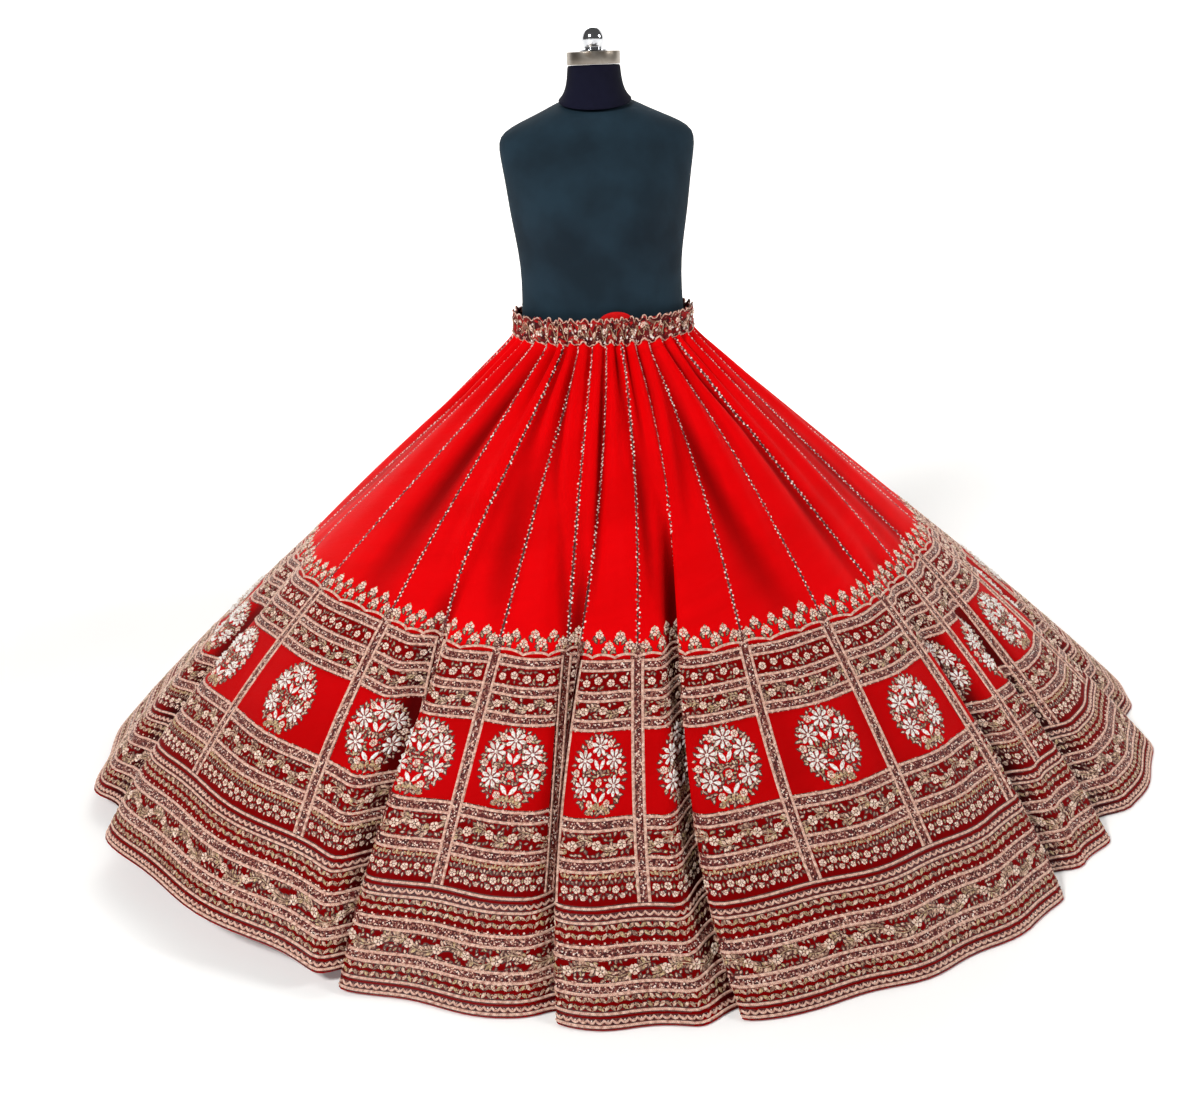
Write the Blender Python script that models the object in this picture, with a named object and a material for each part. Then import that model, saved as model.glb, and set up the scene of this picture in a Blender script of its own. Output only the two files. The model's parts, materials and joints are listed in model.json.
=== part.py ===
"""A flared lehenga skirt of thirty-two kalis, standing on a limbless dress form.

Metres, +Z up, the front towards -Y, the wearer's right at -X. The floor is z = 0.
A place on the cloth is named by two numbers: `u`, counted in kalis round the waist
(0 is the seam just right of the middle of the front, growing towards +X), and `t`,
the share of the way down from the waist seam (0) to the hem (1).
"""

import bmesh
import bpy
import numpy as np

# ---------------------------------------------------------------- skirt sizes
KALIS = 32                # gores sewn side by side round the waist
SILK = 0.0015             # thickness of the embroidered silk
SEAM_GAP = 0.0003         # clear space left between one sewn piece and the next
WAIST_Z = 0.742           # height of the seam under the waistband
WAIST_HALF_WIDTH = 0.155
WAIST_HALF_DEPTH = 0.122
WAIST_TURN = 13.0         # azimuth of seam 0 at the waist, in degrees
HEM_SHIFT = 0.011         # the hem stands this far to +X of the waist
HEM_LIFT = 0.002          # the hem clears the floor by this much
WAIST_ROUNDING = 0.014    # share of the length over which the cloth turns out from the band
BELLY = 0.008             # outward swell of a kali's length, fullest at three quarters
PILLOW = 0.009            # outward swell of a kali between its two seams, at the hem

# ---------------------------------------------------------------- gathers at the waist
GATHERS = 38
GATHER_AT_BAND = 0.0025   # half height of a gather where it enters the band
GATHER_SWELL = 0.0095     # what it gains just below the band
GATHER_FADE = 0.22        # share of the length over which it dies away
GATHER_WANDER = 0.9       # unevenness of the spacing, in radians of one gather
SCALLOP = 0.0025          # rise and fall of the waist seam over each gather

# One row per measured seam or fold edge: the place `u`, its azimuth half way down and
# at the hem in degrees, the hem's radius, and how far the hem is lifted off the floor.
FLARE = (
    # u,     middle, hem,    radius, lift
    (-16.0, -180.0, -180.0, 0.920, 0.000),
    (-13.0, -147.0, -145.0, 0.935, 0.000),
    (-10.0, -112.0, -106.0, 0.955, 0.000),
    (-8.0, -88.0, -80.0, 0.968, 0.012),
    (-7.0, -76.0, -66.0, 0.970, 0.040),
    (-6.0, -60.0, -50.0, 0.957, 0.060),
    (-5.0, -41.0, -32.5, 0.930, 0.040),
    (-4.45, -36.5, -28.3, 0.920, 0.020),
    (-3.55, -29.5, -27.0, 0.912, 0.002),
    (-3.0, -20.4, -20.2, 0.908, 0.000),
    (-2.1, -9.5, -8.9, 0.908, 0.000),
    (-1.05, -7.4, -7.7, 0.915, 0.000),
    (0.0, 2.4, 1.0, 0.922, 0.000),
    (0.33, 6.3, 4.8, 0.922, 0.000),
    (1.15, 9.4, 8.0, 0.922, 0.000),
    (2.0, 19.7, 19.4, 0.925, 0.000),
    (3.0, 35.9, 29.9, 0.930, 0.000),
    (4.0, 51.0, 41.0, 0.930, 0.000),
    (5.0, 62.0, 50.0, 0.910, 0.000),
    (6.0, 72.5, 60.0, 0.930, 0.000),
    (7.0, 83.0, 72.0, 0.968, 0.000),
    (8.0, 94.0, 85.0, 0.972, 0.000),
    (10.0, 115.0, 108.0, 0.955, 0.000),
    (13.0, 147.0, 144.0, 0.935, 0.000),
)
FLARE_SOFTNESS = 0.3      # kalis over which one row of the table blends into the next

# One row per lengthwise fold: where its valley lies, its half width in kalis, its depth
# at 0.85 of the length and at the hem, how far one edge laps over the valley (above 0
# the edge on the +X side laps over), and where down the length it starts.
FOLDS = (
    # u,    half, depth, hem,   lap,    start
    (0.76, 0.46, 0.066, 0.028, 0.055, 0.10),
    (-1.55, 0.72, 0.048, 0.024, 0.044, 0.15),
    (-4.00, 0.52, 0.055, 0.036, 0.048, 0.35),
    (4.50, 0.42, 0.048, 0.044, -0.045, 0.40),
    (5.75, 0.42, 0.040, 0.040, -0.038, 0.45),
    (7.60, 0.45, 0.035, 0.035, -0.020, 0.45),
    (-7.00, 0.45, 0.040, 0.030, 0.030, 0.40),
    (10.10, 0.55, 0.050, 0.045, 0.020, 0.30),
    (13.20, 0.50, 0.045, 0.040, -0.020, 0.30),
    (16.30, 0.55, 0.050, 0.045, 0.020, 0.30),
    (19.60, 0.50, 0.045, 0.040, -0.020, 0.30),
    (22.60, 0.55, 0.050, 0.045, 0.020, 0.30),
)
FOLD_FULL = 0.85          # share of the length at which a fold is deepest

# The path of the cloth across one fold: the place from one side (-1) to the lapping
# side (1), the sideways travel in laps, and the in-and-out travel in depths.
FOLD_PATH = (
    # place, across, out
    (-1.00, 0.00, 0.00),
    (-0.80, 0.08, 0.03),
    (-0.58, 0.22, -0.42),
    (-0.36, 0.40, -0.90),
    (-0.10, 0.72, -1.05),
    (0.15, 0.88, -0.88),
    (0.45, 0.58, -0.46),
    (0.78, -0.24, 0.00),
    (1.00, -0.26, 0.16),
    (1.40, -0.10, 0.08),
    (1.80, 0.00, 0.00),
)
PATH_SOFTNESS = 0.15

KALI_COLUMNS = 7          # mesh columns across one kali
KALI_ROWS = (0.0, 0.016, 0.045, 0.09, 0.16, 0.27, 0.42, 0.57, 0.71, 0.85, 1.0)

# ---------------------------------------------------------------- waistband and drawstring
BAND_HEIGHT = 0.037
BAND_CLOTH = 0.0024       # the band is folded double
BAND_ROWS = (0.0, 0.12, 1.0)
TAPE_WIDTH = 0.060        # the loop of drawstring that stands out of the band
TAPE_RISE = 0.012         # above the band's top edge, at its middle
TAPE_TUCK = 0.008         # below it, inside the band
TAPE_CLOTH = 0.0012
TAPE_AZIMUTH = 10.0
TAPE_INSET = 0.0054       # from the middle of the band's cloth to the middle of the tape's

# ---------------------------------------------------------------- dress form and stand
# One row per level of the torso: height, half width, half depth, the middle in y, and
# the level's rise towards the back.
TORSO = (
    # z,    half_x, half_y, y,     rise
    (0.500, 0.120, 0.088, 0.000, 0.00),
    (0.508, 0.146, 0.106, 0.000, 0.00),
    (0.540, 0.163, 0.119, 0.000, 0.00),
    (0.600, 0.168, 0.122, 0.000, 0.00),
    (0.660, 0.159, 0.115, 0.000, 0.00),
    (0.710, 0.146, 0.109, 0.000, 0.00),
    (0.760, 0.143, 0.107, 0.000, 0.00),
    (0.810, 0.140, 0.104, 0.000, 0.00),
    (0.860, 0.140, 0.106, 0.000, 0.00),
    (0.905, 0.146, 0.110, 0.000, 0.00),
    (0.950, 0.153, 0.113, 0.000, 0.00),
    (0.990, 0.157, 0.109, 0.000, 0.00),
    (1.025, 0.162, 0.100, 0.002, 0.02),
    (1.052, 0.166, 0.087, 0.004, 0.05),
    (1.072, 0.164, 0.074, 0.006, 0.08),
    (1.086, 0.145, 0.066, 0.007, 0.12),
    (1.099, 0.112, 0.062, 0.008, 0.17),
    (1.112, 0.080, 0.059, 0.008, 0.22),
    (1.122, 0.062, 0.055, 0.008, 0.25),
)
TORSO_SIDES = 36
BUST_HEIGHT = 0.945
BUST_HALF_SPAN = 0.072    # from the middle of the front to the fullest place
BUST_SWELL = 0.030
BUST_SPREAD = 0.048

# The cover over the neck, in the same columns.
NECK = (
    # z,     half_x, half_y, y,     rise
    (1.1224, 0.0640, 0.0570, 0.008, 0.25),
    (1.1250, 0.0622, 0.0560, 0.008, 0.24),
    (1.1330, 0.0545, 0.0525, 0.007, 0.18),
    (1.1440, 0.0490, 0.0490, 0.006, 0.08),
    (1.1600, 0.0455, 0.0460, 0.006, 0.00),
    (1.1800, 0.0440, 0.0440, 0.006, 0.00),
)
NECK_SIDES = 36
NECK_GAP = 0.0003         # between the cover and the pieces above and below it
CAP_RADIUS = 0.0442
CAP_HEIGHT = 0.0200
CAP_EDGE = 0.0012
FINIAL_RADIUS = 0.0188
FINIAL_HEIGHT = 0.0385
FINIAL_FLANGE = 0.0240
POLE_RADIUS = 0.0140
POLE_SIDES = 24
BASE_RADIUS = 0.175
BASE_HEIGHT = 0.014
BASE_EDGE = 0.004
BASE_SIDES = 48

# ---------------------------------------------------------------- colours: linear RGB, roughness, metallic
FINISHES = {
    "red_silk": ((0.680, 0.002, 0.003), 0.55, 0.0),
    "waistband_silk": ((0.420, 0.008, 0.010), 0.60, 0.0),
    "drawstring_tape": ((0.620, 0.002, 0.003), 0.65, 0.0),
    "teal_jersey": ((0.012, 0.028, 0.042), 0.80, 0.0),
    "navy_jersey": ((0.003, 0.004, 0.018), 0.75, 0.0),
    "brushed_nickel": ((0.420, 0.390, 0.340), 0.30, 1.0),
    "chrome": ((0.700, 0.710, 0.730), 0.08, 1.0),
    "black_enamel": ((0.010, 0.010, 0.012), 0.35, 0.0),
}


def soft_table(rows, column, place, softness, turn=0.0):
    """One column of a table that runs once round the skirt, read at `place` and softened."""
    at = np.array([row[0] for row in rows])
    value = np.array([row[column] for row in rows])
    at = np.concatenate([at - KALIS, at, at + KALIS])
    value = np.concatenate([value - turn, value, value + turn])
    rounds = np.floor((place + KALIS / 2) / KALIS)
    steps = np.linspace(-softness, softness, 9)
    mean = sum(np.interp(place - rounds * KALIS + step, at, value) for step in steps) / 9
    return mean + rounds * turn


def fold_path(column, place):
    """The travel of the cloth across a fold, softened; nothing outside the table."""
    at = [row[0] for row in FOLD_PATH]
    value = [row[column] for row in FOLD_PATH]
    steps = np.linspace(-PATH_SOFTNESS, PATH_SOFTNESS, 7)
    return sum(np.interp(place + step, at, value, left=0, right=0) for step in steps) / 7


def fold_travel(u, t):
    """How far the folds move the cloth: sideways and outwards."""
    across, out = 0 * u, 0 * u
    for at, half, depth, hem, lap, start in FOLDS:
        place = (u - at + KALIS / 2) % KALIS - KALIS / 2
        growth = np.clip((t - start) / (FOLD_FULL - start), 0, 1)
        growth = growth * growth * (3 - 2 * growth)
        below = np.clip((t - FOLD_FULL) / (1 - FOLD_FULL), 0, 1)
        side = 1 if lap >= 0 else -1
        across = across + lap * growth * fold_path(1, side * place / half)
        out = out + growth * (depth + (hem - depth) * below) * fold_path(2, side * place / half)
    return across, out


def waist_radius(azimuth):
    return 1 / np.hypot(np.sin(azimuth) / WAIST_HALF_WIDTH, np.cos(azimuth) / WAIST_HALF_DEPTH)


def gather_phase(u):
    return 2 * np.pi * GATHERS * u / KALIS + GATHER_WANDER * np.sin(2 * np.pi * u / 4)


def spread(t):
    """Share of the flare reached at `t`: the cloth leaves the band upright, then slopes out."""
    bent = [x - WAIST_ROUNDING * (1 - np.exp(-x / WAIST_ROUNDING)) for x in (t, 1.0)]
    return bent[0] / bent[1]


def cloth_point(u, t):
    """The middle of the silk at kali place `u` and share `t` of the length."""
    u, t = np.broadcast_arrays(np.asarray(u, float), np.asarray(t, float))
    at_waist = 360 / KALIS * u + WAIST_TURN
    at_middle = soft_table(FLARE, 1, u, FLARE_SOFTNESS, 360)
    at_hem = soft_table(FLARE, 2, u, FLARE_SOFTNESS, 360)
    turned = at_waist * (2 * t - 1) * (t - 1) - at_middle * 4 * t * (t - 1) + at_hem * t * (2 * t - 1)
    azimuth = np.radians(turned)
    reach = spread(t)
    radius = waist_radius(azimuth)
    radius = radius + (soft_table(FLARE, 3, u, 0.45) - radius) * reach
    swell = GATHER_AT_BAND + GATHER_SWELL * (1 - np.exp(-t / 0.03))
    radius = radius + swell * np.exp(-t / GATHER_FADE) * np.cos(gather_phase(u))
    radius = radius + PILLOW * t * (1 - np.cos(2 * np.pi * u)) / 2 + BELLY * t**3 * (1 - t) * 9.48
    across, out = fold_travel(u, t)
    radius = radius + out
    scallop = SCALLOP * np.cos(gather_phase(u)) * np.exp(-t / 0.05)
    hem_z = HEM_LIFT + soft_table(FLARE, 4, u, 0.45)
    x = HEM_SHIFT * reach + radius * np.sin(azimuth) + across * np.cos(azimuth)
    y = -radius * np.cos(azimuth) + across * np.sin(azimuth)
    return np.stack([x, y, WAIST_Z + (hem_z - WAIST_Z) * t + scallop], -1)


def band_point(u, share):
    """The middle of the waistband's cloth; `share` climbs from its lower edge to its top."""
    u, share = np.broadcast_arrays(np.asarray(u, float), np.asarray(share, float))
    azimuth = np.radians(360 / KALIS * u + WAIST_TURN)
    radius = waist_radius(azimuth) + GATHER_AT_BAND * np.cos(gather_phase(u))
    z = WAIST_Z + BAND_HEIGHT * share + SCALLOP * np.cos(gather_phase(u)) * (1 - 0.6 * share)
    return np.stack([radius * np.sin(azimuth), -radius * np.cos(azimuth), z], -1)


def unit(vector):
    return vector / np.linalg.norm(vector, axis=-1, keepdims=True)


def facing(surface, u, v, forward):
    """The outward normal of a surface, from its two slopes; `forward` is the sign of v downwards."""
    step = 1e-4
    across = surface(u + step, v) - surface(u - step, v)
    along = surface(u, v + step) - surface(u, np.maximum(v - step, 0))
    return unit(np.cross(along, across)) * forward


def grid_facing(points):
    """The outward normals of a grid of rows and columns, from the panels that meet at each point."""
    panel = unit(np.cross(points[1:, 1:] - points[:-1, :-1], points[:-1, 1:] - points[1:, :-1]))
    total = np.zeros(points.shape)
    for rows in (slice(0, -1), slice(1, None)):
        for columns in (slice(0, -1), slice(1, None)):
            total[rows, columns] += panel
    return unit(total)


def finish(name):
    colour, roughness, metallic = FINISHES[name]
    material = bpy.data.materials.get(name) or bpy.data.materials.new(name)
    material.use_nodes = True
    shader = material.node_tree.nodes["Principled BSDF"]
    shader.inputs["Base Color"].default_value = (*colour, 1)
    shader.inputs["Roughness"].default_value = roughness
    shader.inputs["Metallic"].default_value = metallic
    return material


def add_solid(name, points, faces, finish_name, collection):
    mesh = bpy.data.meshes.new(name)
    mesh.from_pydata([tuple(map(float, point)) for point in points], [], faces)
    shape = bmesh.new()
    shape.from_mesh(mesh)
    bmesh.ops.recalc_face_normals(shape, faces=shape.faces)
    shape.to_mesh(mesh)
    shape.free()
    mesh.materials.append(finish(finish_name))
    solid = bpy.data.objects.new(name, mesh)
    collection.objects.link(solid)
    return solid


def sheet_faces(middle):
    """Faces of a closed sheet: an outer grid of points, an inner one, and the four edges.

    Both sides of a panel are split along the shorter diagonal of its middle, so that
    the two walls of a twisted panel stay apart.
    """
    rows, columns = middle.shape[:2]
    inner = rows * columns

    def at(row, column, side=0):
        return side * inner + row * columns + column

    faces = []
    for row in range(rows - 1):
        for column in range(columns - 1):
            corners = [(row, column), (row, column + 1), (row + 1, column + 1), (row + 1, column)]
            falling = np.linalg.norm(middle[corners[0]] - middle[corners[2]])
            rising = np.linalg.norm(middle[corners[1]] - middle[corners[3]])
            first = 0 if falling <= rising else 1
            for turn in ((0, 1, 2), (0, 2, 3)):
                triangle = [corners[(first + step) % 4] for step in turn]
                faces.append([at(r, c) for r, c in triangle])
                faces.append([at(r, c, 1) for r, c in reversed(triangle)])
    for row in range(rows - 1):
        for column in (0, columns - 1):
            faces.append([at(row, column), at(row + 1, column), at(row + 1, column, 1), at(row, column, 1)])
    for column in range(columns - 1):
        for row in (0, rows - 1):
            faces.append([at(row, column), at(row, column + 1), at(row, column + 1, 1), at(row, column, 1)])
    return faces


def ring_faces(rings, sides, capped=True):
    """Faces of a loft through closed rings of points; uncapped, the last ring joins the first."""
    faces = []
    for ring in range(rings - 1 if capped else rings):
        low, high = ring * sides, (ring + 1) % rings * sides
        for side in range(sides):
            following = (side + 1) % sides
            faces.append([low + side, low + following, high + following, high + side])
    if capped:
        faces.append(list(range(sides))[::-1])
        faces.append([(rings - 1) * sides + side for side in range(sides)])
    return faces


def kali(index, collection):
    """One gore of silk between two seams, from the waist seam to the hem."""
    t = np.array(KALI_ROWS)[:, None]
    whole = index + np.linspace(0, 1, KALI_COLUMNS + 1)[None, :]
    u = np.broadcast_to(whole, (len(KALI_ROWS), KALI_COLUMNS + 1)).copy()
    for column, side in ((0, 1), (-1, -1)):
        edge = u[:, column]
        width = np.linalg.norm(cloth_point(edge + 0.001, t[:, 0]) - cloth_point(edge - 0.001, t[:, 0]), axis=-1)
        u[:, column] = edge + side * 0.62 * SEAM_GAP * 0.002 / width
    t = np.broadcast_to(t, u.shape)
    middle = cloth_point(u, t)
    wider = index + np.arange(-1, KALI_COLUMNS + 2)[None, :] / KALI_COLUMNS
    normal = grid_facing(cloth_point(*np.broadcast_arrays(wider, t[:, :1])))[:, 1:-1]
    points = np.concatenate([
        (middle + normal * SILK / 2).reshape(-1, 3),
        (middle - normal * SILK / 2).reshape(-1, 3),
    ])
    name = f"kali_{index % KALIS + 1:02d}"
    return add_solid(name, points, sheet_faces(middle), "red_silk", collection)


def waistband(collection):
    """The gathered band: a closed ring whose lower edge follows the kalis' upper edges."""
    count = KALIS * KALI_COLUMNS
    u = np.arange(count) / KALI_COLUMNS
    seam = cloth_point(u, 0 * u)
    out = facing(cloth_point, u, 0 * u, -1)
    up = unit(cloth_point(u, 0 * u) - cloth_point(u, 0 * u + 1e-4))
    rings = []
    for side in (1, -1):
        column = []
        for share in BAND_ROWS:
            if share == 0:
                column.append(seam + up * SEAM_GAP * 2.4 + out * side * SILK / 2)
            else:
                flat = facing(band_point, u, 0 * u + share, 1) * (1, 1, 0)
                column.append(band_point(u, share) + unit(flat) * side * BAND_CLOTH / 2)
        rings.extend(column if side == 1 else column[::-1])
    points = np.stack(rings, 1).reshape(-1, 3)
    faces = ring_faces(count, len(rings), capped=False)
    return add_solid("waistband", points, faces, "waistband_silk", collection)


def drawstring(collection):
    """The loop of tape that stands up out of the band at the front."""
    columns, rows = 17, 4
    share = np.linspace(-1, 1, columns)
    azimuth = np.radians(TAPE_AZIMUTH) + share * TAPE_WIDTH / 2 / WAIST_HALF_DEPTH
    crest = TAPE_TUCK * 0.35 + (TAPE_RISE + TAPE_TUCK * 0.65) * np.sqrt(np.clip(1 - share**2, 0.0, 1))
    climb = np.arange(rows)[:, None] / (rows - 1)
    z = WAIST_Z + BAND_HEIGHT - TAPE_TUCK + crest * climb
    walls = []
    for side in (1, -1):
        radius = waist_radius(azimuth) - TAPE_INSET + side * TAPE_CLOTH / 2 + 0 * z
        walls.append(np.stack([radius * np.sin(azimuth), -radius * np.cos(azimuth), z], -1))
    points = np.concatenate([wall.reshape(-1, 3) for wall in walls])
    return add_solid("drawstring", points, sheet_faces(walls[0]), "drawstring_tape", collection)


def torso(collection):
    """The padded form from hip to neck, with the bust swelling in front."""
    turn = np.linspace(0, 2 * np.pi, TORSO_SIDES, endpoint=False)
    points = []
    for z, half_x, half_y, middle, rise in TORSO:
        x, y = half_x * np.sin(turn), middle - half_y * np.cos(turn)
        height = z + rise * (y - middle)
        front = np.clip(np.cos(turn), 0, 1) ** 0.5
        level = np.exp(-(((z - BUST_HEIGHT) / BUST_SPREAD) ** 2))
        mounds = sum(np.exp(-(((x - side * BUST_HALF_SPAN) / BUST_SPREAD) ** 2)) for side in (1, -1))
        y = y - BUST_SWELL * level * front * mounds * 0.8
        points.append(np.stack([x, y, height], -1))
    faces = ring_faces(len(TORSO), TORSO_SIDES)
    return add_solid("form_torso", np.concatenate(points), faces, "teal_jersey", collection)


def neck_cover(collection):
    """The dark cover of the neck, its foot spread over the shoulders and lower in front."""
    turn = np.linspace(0, 2 * np.pi, NECK_SIDES, endpoint=False)
    points = []
    for z, half_x, half_y, middle, rise in NECK:
        y = -half_y * np.cos(turn)
        points.append(np.stack([half_x * np.sin(turn), middle + y, z + rise * y], -1))
    faces = ring_faces(len(NECK), NECK_SIDES)
    return add_solid("neck_cover", np.concatenate(points), faces, "navy_jersey", collection)


def turned(name, profile, sides, middle, finish_name, collection):
    """A solid of revolution about an upright axis, through (radius, height) pairs."""
    turn = np.linspace(0, 2 * np.pi, sides, endpoint=False)
    points = [
        np.stack([middle[0] + r * np.sin(turn), middle[1] - r * np.cos(turn), 0 * turn + z], -1)
        for r, z in profile
    ]
    faces = ring_faces(len(profile), sides)
    return add_solid(name, np.concatenate(points), faces, finish_name, collection)


def form_top(collection):
    """The metal cap on the neck and the domed finial on the cap."""
    low = NECK[-1][0] + NECK_GAP
    high = low + CAP_HEIGHT
    middle = (0, NECK[-1][3])
    rim = CAP_RADIUS - CAP_EDGE
    cap = [(rim, low), (CAP_RADIUS, low + CAP_EDGE), (CAP_RADIUS, high - CAP_EDGE), (rim, high)]
    turned("neck_cap", cap, 48, middle, "brushed_nickel", collection)
    foot = high + NECK_GAP
    flange = [(FINIAL_FLANGE - 0.001, foot), (FINIAL_FLANGE, foot + 0.001), (FINIAL_FLANGE, foot + 0.002),
              (FINIAL_FLANGE - 0.002, foot + 0.0032), (0.0150, foot + 0.0045), (0.0165, foot + 0.0070)]
    barrel = FINIAL_HEIGHT - FINIAL_RADIUS
    dome = [
        (FINIAL_RADIUS * np.cos(a), foot + barrel + FINIAL_RADIUS * np.sin(a))
        for a in np.radians((-25, 0, 20, 38, 54, 68, 80, 87))
    ]
    turned("finial", flange + dome, 32, middle, "chrome", collection)


def stand(collection):
    """The pole under the form and the round foot that it stands on."""
    edge = BASE_RADIUS - BASE_EDGE
    foot = [(edge + 0.003, 0), (BASE_RADIUS, 0.003), (BASE_RADIUS, BASE_HEIGHT - BASE_EDGE), (edge, BASE_HEIGHT)]
    turned("stand_base", foot, BASE_SIDES, (0, 0), "black_enamel", collection)
    low, high = BASE_HEIGHT + NECK_GAP, TORSO[0][0] - NECK_GAP
    pole = [
        (POLE_RADIUS + 0.014, low), (POLE_RADIUS + 0.014, low + 0.018), (POLE_RADIUS + 0.010, low + 0.022),
        (POLE_RADIUS, low + 0.022), (POLE_RADIUS, high),
    ]
    turned("stand_pole", pole, POLE_SIDES, (0, 0), "black_enamel", collection)


def build():
    for item in list(bpy.data.objects):
        bpy.data.objects.remove(item, do_unlink=True)
    collection = bpy.data.collections.new("lehenga_skirt")
    bpy.context.scene.collection.children.link(collection)
    for index in range(KALIS):
        kali(index, collection)
    waistband(collection)
    drawstring(collection)
    torso(collection)
    neck_cover(collection)
    form_top(collection)
    stand(collection)


build()
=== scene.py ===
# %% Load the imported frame
import json
from functools import partial

import bpy
import numpy as np
from mathutils import Matrix, Vector

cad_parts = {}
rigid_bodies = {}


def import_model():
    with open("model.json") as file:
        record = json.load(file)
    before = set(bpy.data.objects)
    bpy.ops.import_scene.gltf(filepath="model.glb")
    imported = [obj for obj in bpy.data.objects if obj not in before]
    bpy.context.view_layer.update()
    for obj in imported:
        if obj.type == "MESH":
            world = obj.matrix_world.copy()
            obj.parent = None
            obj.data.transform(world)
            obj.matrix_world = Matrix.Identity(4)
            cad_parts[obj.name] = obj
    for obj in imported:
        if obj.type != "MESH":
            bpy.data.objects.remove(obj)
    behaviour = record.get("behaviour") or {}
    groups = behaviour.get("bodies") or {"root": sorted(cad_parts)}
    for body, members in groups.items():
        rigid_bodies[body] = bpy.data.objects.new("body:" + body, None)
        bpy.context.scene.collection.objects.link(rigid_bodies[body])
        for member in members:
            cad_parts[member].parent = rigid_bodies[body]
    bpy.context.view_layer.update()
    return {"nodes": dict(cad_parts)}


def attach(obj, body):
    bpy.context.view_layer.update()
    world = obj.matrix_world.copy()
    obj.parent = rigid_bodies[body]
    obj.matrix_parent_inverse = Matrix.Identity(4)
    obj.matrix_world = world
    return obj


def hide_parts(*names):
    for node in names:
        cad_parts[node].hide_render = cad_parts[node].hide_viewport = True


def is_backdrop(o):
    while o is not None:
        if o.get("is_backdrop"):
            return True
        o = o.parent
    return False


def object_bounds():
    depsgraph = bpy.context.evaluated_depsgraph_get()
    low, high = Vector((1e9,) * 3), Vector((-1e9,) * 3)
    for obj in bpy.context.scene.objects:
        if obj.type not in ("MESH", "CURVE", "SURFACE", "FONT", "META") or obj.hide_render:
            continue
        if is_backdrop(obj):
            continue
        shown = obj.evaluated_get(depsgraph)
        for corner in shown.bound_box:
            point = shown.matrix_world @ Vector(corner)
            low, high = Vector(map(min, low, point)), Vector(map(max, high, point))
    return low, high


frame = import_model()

KALI_NODES = [f"kali_{number:02d}" for number in range(1, 33)]
print("nodes in the frame:", len(frame["nodes"]), "of which kalis:", len(KALI_NODES))

# %% [markdown]
# # A lehenga skirt, from its cloth to its stitches
#
# A lehenga is a very full skirt. This one is sewn from thirty-two tapering gores, called
# kalis, gathered into a narrow band and embroidered from knee to hem. The frame holds
# plain solids at the true size. This lesson makes what the eye sees: one smooth sheet of
# silk, the cords, beads and flowers that are stitched to it, and the dress form under it.
#
# A few short helpers come first. Blender mixes colours as linear light, while a dye chart
# gives them as screen codes, so one function converts them. The others set up a finish:
# a shader, and the patterns, ramps and sums that feed its sockets.

# %% Helpers for colours, finishes and modifiers
def dye(code):
    """A screen colour such as '#c41e1e' as linear red, green, blue and alpha."""
    screen = np.array([int(code[at:at + 2], 16) for at in (1, 3, 5)]) / 255
    linear = np.where(screen <= 0.04045, screen / 12.92, ((screen + 0.055) / 1.055) ** 2.4)
    return (*linear.tolist(), 1.0)


def clear_hands():
    """Nothing selected and no edit mode open, so that the next step acts on its own piece."""
    if bpy.context.mode != "OBJECT":
        bpy.ops.object.mode_set(mode="OBJECT")
    bpy.ops.object.select_all(action="DESELECT")


def feed(node, socket, value):
    """Gives a socket, found by its label or its number, a link or a plain value."""
    if isinstance(value, bpy.types.NodeSocket):
        node.id_data.links.new(value, node.inputs[socket])
    else:
        node.inputs[socket].default_value = value


def add_node(material, kind, *values, **given):
    """One shader node: what its first sockets get, then sockets by label and settings by name."""
    made = material.node_tree.nodes.new(kind)
    for name, value in given.items():
        label = name.replace("_", " ")
        if name[0].isupper() and label in made.inputs:
            feed(made, label, value)
        else:
            setattr(made, name, value)
    for number, value in enumerate(values):
        feed(made, number, value)
    return made


def new_finish(name, **given):
    """A material with one Principled shader, and that shader."""
    material = bpy.data.materials.new(name)
    material.use_nodes = True
    shader = material.node_tree.nodes["Principled BSDF"]
    for label, value in given.items():
        feed(shader, label.replace("_", " "), value)
    return material, shader


def in_space(material):
    """Where a point lies in the room, in metres."""
    return add_node(material, "ShaderNodeTexCoord").outputs["Object"]


def along_cloth(material):
    """Where a point lies along and down its cloth or cord, in metres."""
    return add_node(material, "ShaderNodeUVMap", uv_map="cloth_metres").outputs["UV"]


def noise(material, place, scale, detail, **given):
    """Soft clouds of 0 to 1, each about 1 / scale metres wide."""
    made = add_node(material, "ShaderNodeTexNoise", Vector=place, Scale=scale, Detail=detail, **given)
    return made.outputs["Fac"]


def ribs(material, place, scale, **given):
    """Ribs of 0 to 1 that repeat every 0.314 / scale metres."""
    return add_node(material, "ShaderNodeTexWave", Vector=place, Scale=scale, **given).outputs["Fac"]


def reckon(material, operation, *values):
    return add_node(material, "ShaderNodeMath", *values, operation=operation).outputs[0]


def blend_colours(material, amount, *stops):
    """A colour ramp fed by `amount`; each stop is a place and a dye code."""
    ramp = add_node(material, "ShaderNodeValToRGB", Fac=amount)
    elements = ramp.color_ramp.elements
    while len(elements) < len(stops):
        elements.new(0.5)
    for element, (place, code) in zip(elements, stops):
        element.position = place
        element.color = dye(code)
    return ramp.outputs["Color"]


def dimmed(material, colour, factor, share=1.0):
    """A colour multiplied by another, in full or by a share."""
    made = add_node(material, "ShaderNodeMix", data_type="RGBA", blend_type="MULTIPLY")
    for number, value in ((0, share), (6, colour), (7, factor)):
        feed(made, number, value)
    return made.outputs[2]


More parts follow.
